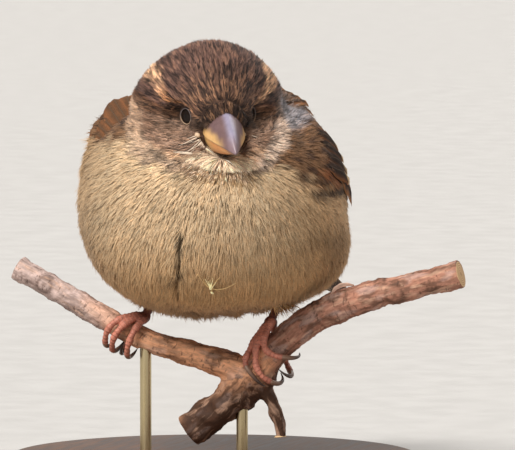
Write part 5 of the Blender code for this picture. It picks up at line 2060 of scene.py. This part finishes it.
def foot_mesh(name, grip, foot):
    """A foot's toes and pad as one skin with scales, with the pad's place and the toes' lines."""
    pad = grip.at(0, 92, GAP + PAD_RADIUS * 1.1)
    parts = [tube([pad - grip.front * 0.8, pad, pad + grip.front * 0.8], [0.9, PAD_RADIUS, 0.9], 20)]
    lines = []
    for spec in foot["toes"].values():
        toe = toe_line(grip, spec, TOE_POINTS)
        lines.append(np.concatenate(([pad + (toe[0] - pad) * 0.2], toe)))
        parts += toe_parts(grip, lines[-1])
    bm = bmesh.new()
    bm.from_mesh(plain_mesh(name, *join(parts)))
    out = remeshed(name, bm, FOOT_VOXEL, 3)
    p, n = vertices(out), normals(out)
    run, end = toe_runs(p, lines)
    outward = p - grip.centre
    outward = unit(outward - (outward @ grip.along)[:, None] * grip.along)
    top = smooth((n * outward).sum(axis=1), -0.1, 0.5)
    set_vertices(out, p + n * (scales(run, SCALE_PITCH) * 0.13 * top - 0.02)[:, None])
    groove = smooth((run / SCALE_PITCH) % 1, 0.82, 1.0) * top
    colour = paint(
        TOE_SKIN,
        # painted shade in the grooves between the scales and on the undersides that face the bark
        (groove * 0.75, TOE_DARK),
        ((1 - top) * 0.35, TOE_DARK),
        (smooth(end, 0.8, 1.0) * 0.35, TOE_DARK),
        (1 - smooth(np.linalg.norm(p - pad, axis=1), 1.0, 3.2), TARSUS_SKIN),
    )
    # the foot's tone: painted light on the left foot
    set_tint(out, colour * foot["tone"])
    out.shade_smooth()
    return out, pad, lines


def leg_material(name):
    """Horny skin with a fine grain and soft blotches."""
    m = Nodes(name)
    grain = m.noise(m.place(), 2600, 3.0)
    blotch = m.noise(m.place(), 600, 2.0)
    tone = m.math("MULTIPLY", m.vary(grain, 0.84, 1.14), m.vary(blotch, 0.88, 1.1))
    m.bump(grain, 0.0001, 0.5)
    rough = m.vary(grain, 0.42, 0.6)
    return m.finish(m.scaled(m.attribute("tint"), tone), rough, Specular_IOR_Level=0.4)


CLAW_POINTS, CLAW_SIDES = 26, 14
TARSUS_POINTS, TARSUS_START, TARSUS_PITCH = 90, 0.6, 1.15


def build_claws(side, grip, foot, lines, horn):
    """A foot's four claws, paler at the root."""
    t = np.linspace(0, 1, CLAW_POINTS)
    claws = []
    for toe, spec in zip(lines, foot["toes"].values()):
        line = claw_line(grip, spec, toe, CLAW_POINTS)
        claws.append(tube(line, CLAW_RADIUS * 1.35 * (1 - 0.88 * t**1.6), CLAW_SIDES, 0.85))
    mesh = plain_mesh(f"claws_{side}", *join(claws))
    share = np.tile(np.concatenate((np.repeat(t, CLAW_SIDES), (0, 1))), len(claws))
    set_tint(mesh, mix(CLAW_BASE, smooth(share, 0.05, 0.6), CLAW_TIP))
    piece(f"claws_{side}", mesh, horn, "claw", *[f"claw_{key}_{side}" for key in foot["toes"]])


def build_tarsus(side, foot, pad, material):
    """The leg from the foot's pad up into the belly's feathers, with scales down its front."""
    rise = np.array(foot["heel"]) - pad
    reach = np.linalg.norm(rise)
    axis = unit(rise)
    line = [pad + axis * d for d in np.linspace(TARSUS_START, reach, TARSUS_POINTS)]
    t = np.linspace(0, 1, TARSUS_POINTS)
    radii = TARSUS_RADIUS * (1.12 - 0.35 * t * (1 - t) + 0.1 * scales(t * reach, TARSUS_PITCH))
    mesh = plain_mesh(f"tarsus_{side}", *tube(line, radii, 20, 1.12))
    # painted shade in the grooves between the scales
    groove = smooth((((vertices(mesh) - pad) @ axis - TARSUS_START) / TARSUS_PITCH) % 1, 0.85, 1.0)
    set_tint(mesh, mix(TARSUS_SKIN, groove * 0.6, TOE_DARK))
    piece(f"tarsus_{side}", mesh, material, "leg_skin", f"tarsus_{side}")


def build_feet():
    """Both legs with their feet closed on the perch."""
    tree = BVHTree.FromBMesh(node_mesh("perch_branch"))
    skin_like, horn = leg_material("leg scales"), horn_material("claw horn", 0.32)
    for side in SIDES:
        foot = FEET[side]
        grip = Grip(foot, tree)
        mesh, pad, lines = foot_mesh(f"foot_{side}", grip, foot)
        piece(f"foot_{side}", mesh, skin_like, "leg_skin", f"foot_{side}")
        build_claws(side, grip, foot, lines, horn)
        build_tarsus(side, foot, pad, skin_like)


# ---------------------------------------------------------------- stand

BASE_RADIUS = 45.0
BASE_HEIGHT = 8.0
BASE_EDGE = 1.5
BASE_SIDES = 144
BASE_FOOT = 0.6  # the bevel under the base
EDGE_STEPS = 8
ROD_RADIUS = 1.25
WOOD_DARK, WOOD_LIGHT = srgb(74, 48, 34), srgb(112, 76, 52)
BRASS_DARK, BRASS_LIGHT = (0.52, 0.42, 0.24), (0.62, 0.52, 0.32)


def wood_material():
    """Dark varnished wood with a grain and pores along x."""
    m = Nodes("stand wood")
    grain = m.noise(m.place((14, 1, 1)), 60, 5.0, 0.6, 1.2)
    pores = m.noise(m.place((60, 2, 4)), 60, 3.0)
    colour = m.mix(m.ramp(grain, 0.35, 0.65), WOOD_DARK, WOOD_LIGHT)
    colour = m.scaled(colour, m.ramp(pores, 0.35, 0.6, 0.75, 1.08))
    m.bump(pores, 0.0001, 0.4)
    return m.finish(colour, m.vary(grain, 0.34, 0.46), Coat_Weight=0.25)


def brass_material():
    """Brass brushed along z."""
    m = Nodes("stand brass")
    brushed = m.noise(m.place((1, 1, 0.04)), 2600, 3.0)
    colour = m.mix(m.vary(brushed), BRASS_DARK, BRASS_LIGHT)
    m.bump(brushed, 0.00003, 0.4)
    return m.finish(colour, m.vary(brushed, 0.26, 0.4), Metallic=1.0)


def build_stand():
    """A plain round wooden base and two brass rods up into the branch."""
    profile = [
        (BASE_RADIUS - BASE_FOOT, 0.0),
        (BASE_RADIUS, BASE_FOOT),
        (BASE_RADIUS, BASE_HEIGHT - BASE_EDGE),
    ]
    for i in range(1, EDGE_STEPS + 1):
        a = math.pi / 2 * i / EDGE_STEPS
        inward, upward = BASE_EDGE * (1 - math.cos(a)), BASE_EDGE * (1 - math.sin(a))
        profile.append((BASE_RADIUS - inward, BASE_HEIGHT - upward))
    turns = [2 * math.pi * j / BASE_SIDES for j in range(BASE_SIDES)]
    points = [(r * math.cos(a), r * math.sin(a), z) for r, z in profile for a in turns]
    last = len(points)
    ends = [tuple(range(BASE_SIDES))[::-1], tuple(range(last - BASE_SIDES, last))]
    mesh = plain_mesh("stand_base", points, ring_faces(len(profile), BASE_SIDES) + ends)
    mesh.set_sharp_from_angle(angle=math.radians(35))
    piece("stand_base", mesh, wood_material(), "stand_wood", "stand_base")
    brass = brass_material()
    for key in ("a", "b"):
        low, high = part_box(f"stand_rod_{key}")
        x, y = (low[0] + high[0]) / 2 / MM, (low[1] + high[1]) / 2 / MM
        line = [(x, y, low[2] / MM), (x, y, high[2] / MM)]
        mesh = plain_mesh(f"stand_rod_{key}", *tube(line, [ROD_RADIUS, ROD_RADIUS], 40))
        mesh.set_sharp_from_angle(angle=math.radians(40))
        piece(f"stand_rod_{key}", mesh, brass, "stand_metal", f"stand_rod_{key}")


# ---------------------------------------------------------------- stage and camera

VIEW_TURN = 17.0  # degrees by which the camera stands to the bird's left of its front
VIEW_HEIGHT = 4.0  # degrees above the level
DISTANCE = 1.6
VIEW_WIDE = 0.112  # metres across the picture at the model
VIEW_ASIDE, VIEW_UP = 0.00946, 0.058  # metres from the origin to the place looked at
SENSOR = 36
FLOOR = 15000.0
FLOOR_DARK, FLOOR_LIGHT = (0.5, 0.49, 0.475), (0.53, 0.52, 0.505)
SKY = (1.0, 0.97, 0.94)


def build_stage():
    """A pale floor that runs out of the picture."""
    corners = [(-FLOOR, -FLOOR, 0), (FLOOR, -FLOOR, 0), (FLOOR, FLOOR, 0), (-FLOOR, FLOOR, 0)]
    mesh = plain_mesh("floor", corners, [(0, 1, 2, 3)])
    m = Nodes("floor")
    speck = m.noise(m.place(), 90, 4.0)
    tone = m.mix(m.vary(speck), FLOOR_DARK, FLOOR_LIGHT)
    mesh.materials.append(m.finish(tone, m.ramp(speck, 0.2, 0.8, 0.55, 0.7)))
    link("floor", mesh)


def build_sun(name, place, softness, strength, colour):
    """A broad soft light from far away, so that the floor is lit evenly."""
    data = bpy.data.lights.new(name, "SUN")
    data.angle = softness
    data.energy = strength
    data.color = colour
    obj = link(name, data)
    obj.location = place
    obj.rotation_euler = (-Vector(place)).to_track_quat("-Z", "Y").to_euler()


def build_camera():
    """The camera from the photo's side, with its framing."""
    a, e = math.radians(VIEW_TURN), math.radians(VIEW_HEIGHT)
    right = Vector((math.cos(a), math.sin(a), 0))
    ahead = Vector((-math.sin(a) * math.cos(e), math.cos(a) * math.cos(e), -math.sin(e)))
    data = bpy.data.cameras.new("camera")
    data.sensor_width = SENSOR
    data.lens = SENSOR * DISTANCE / VIEW_WIDE
    data.clip_end = 20
    data.clip_start = 0.05
    obj = link("camera", data)
    obj.location = right * VIEW_ASIDE + Vector((0, 0, VIEW_UP)) - ahead * DISTANCE
    obj.rotation_euler = ahead.to_track_quat("-Z", "Y").to_euler()
    bpy.context.scene.camera = obj


def build_world():
    """A plain, slightly warm sky."""
    world = bpy.data.worlds.new("world")
    bpy.context.scene.world = world
    world.use_nodes = True
    sky = world.node_tree.nodes["Background"]
    sky.inputs["Color"].default_value = (*SKY, 1)
    sky.inputs["Strength"].default_value = 0.36
    bpy.context.scene.view_settings.view_transform = "Standard"


# ---------------------------------------------------------------- run

# the skin between the tufts is painted darker: partly the grey down, partly painted shade in the coat
skin = piece("skin", build_skin(), plumage_material("skin down and painted shade", 0.75), "plumage_body", *FLESH)
unwrap(skin)
set_tint(skin.data, markings(vertices(skin.data)))
surface = Surface(skin.data)
build_coat(surface, plumage_material("coat"))
build_bill()
build_eyes()
build_gape()
build_bristles()
build_wisp(surface)
wrap = Wrap()
webs = vane_material("feather webs")
for side_name, side_sign in SIDES.items():
    build_wing(wrap, side_name, side_sign, webs)
build_tail(webs)
build_perch()
build_feet()
build_stand()
build_stage()
build_sun("key", (-0.31, -0.75, 0.9), 0.5, 4.2, (1.0, 0.97, 0.93))
build_sun("rim", (0.3, 0.7, 0.8), 0.7, 1.0, (1.0, 0.97, 0.94))
build_world()
build_camera()
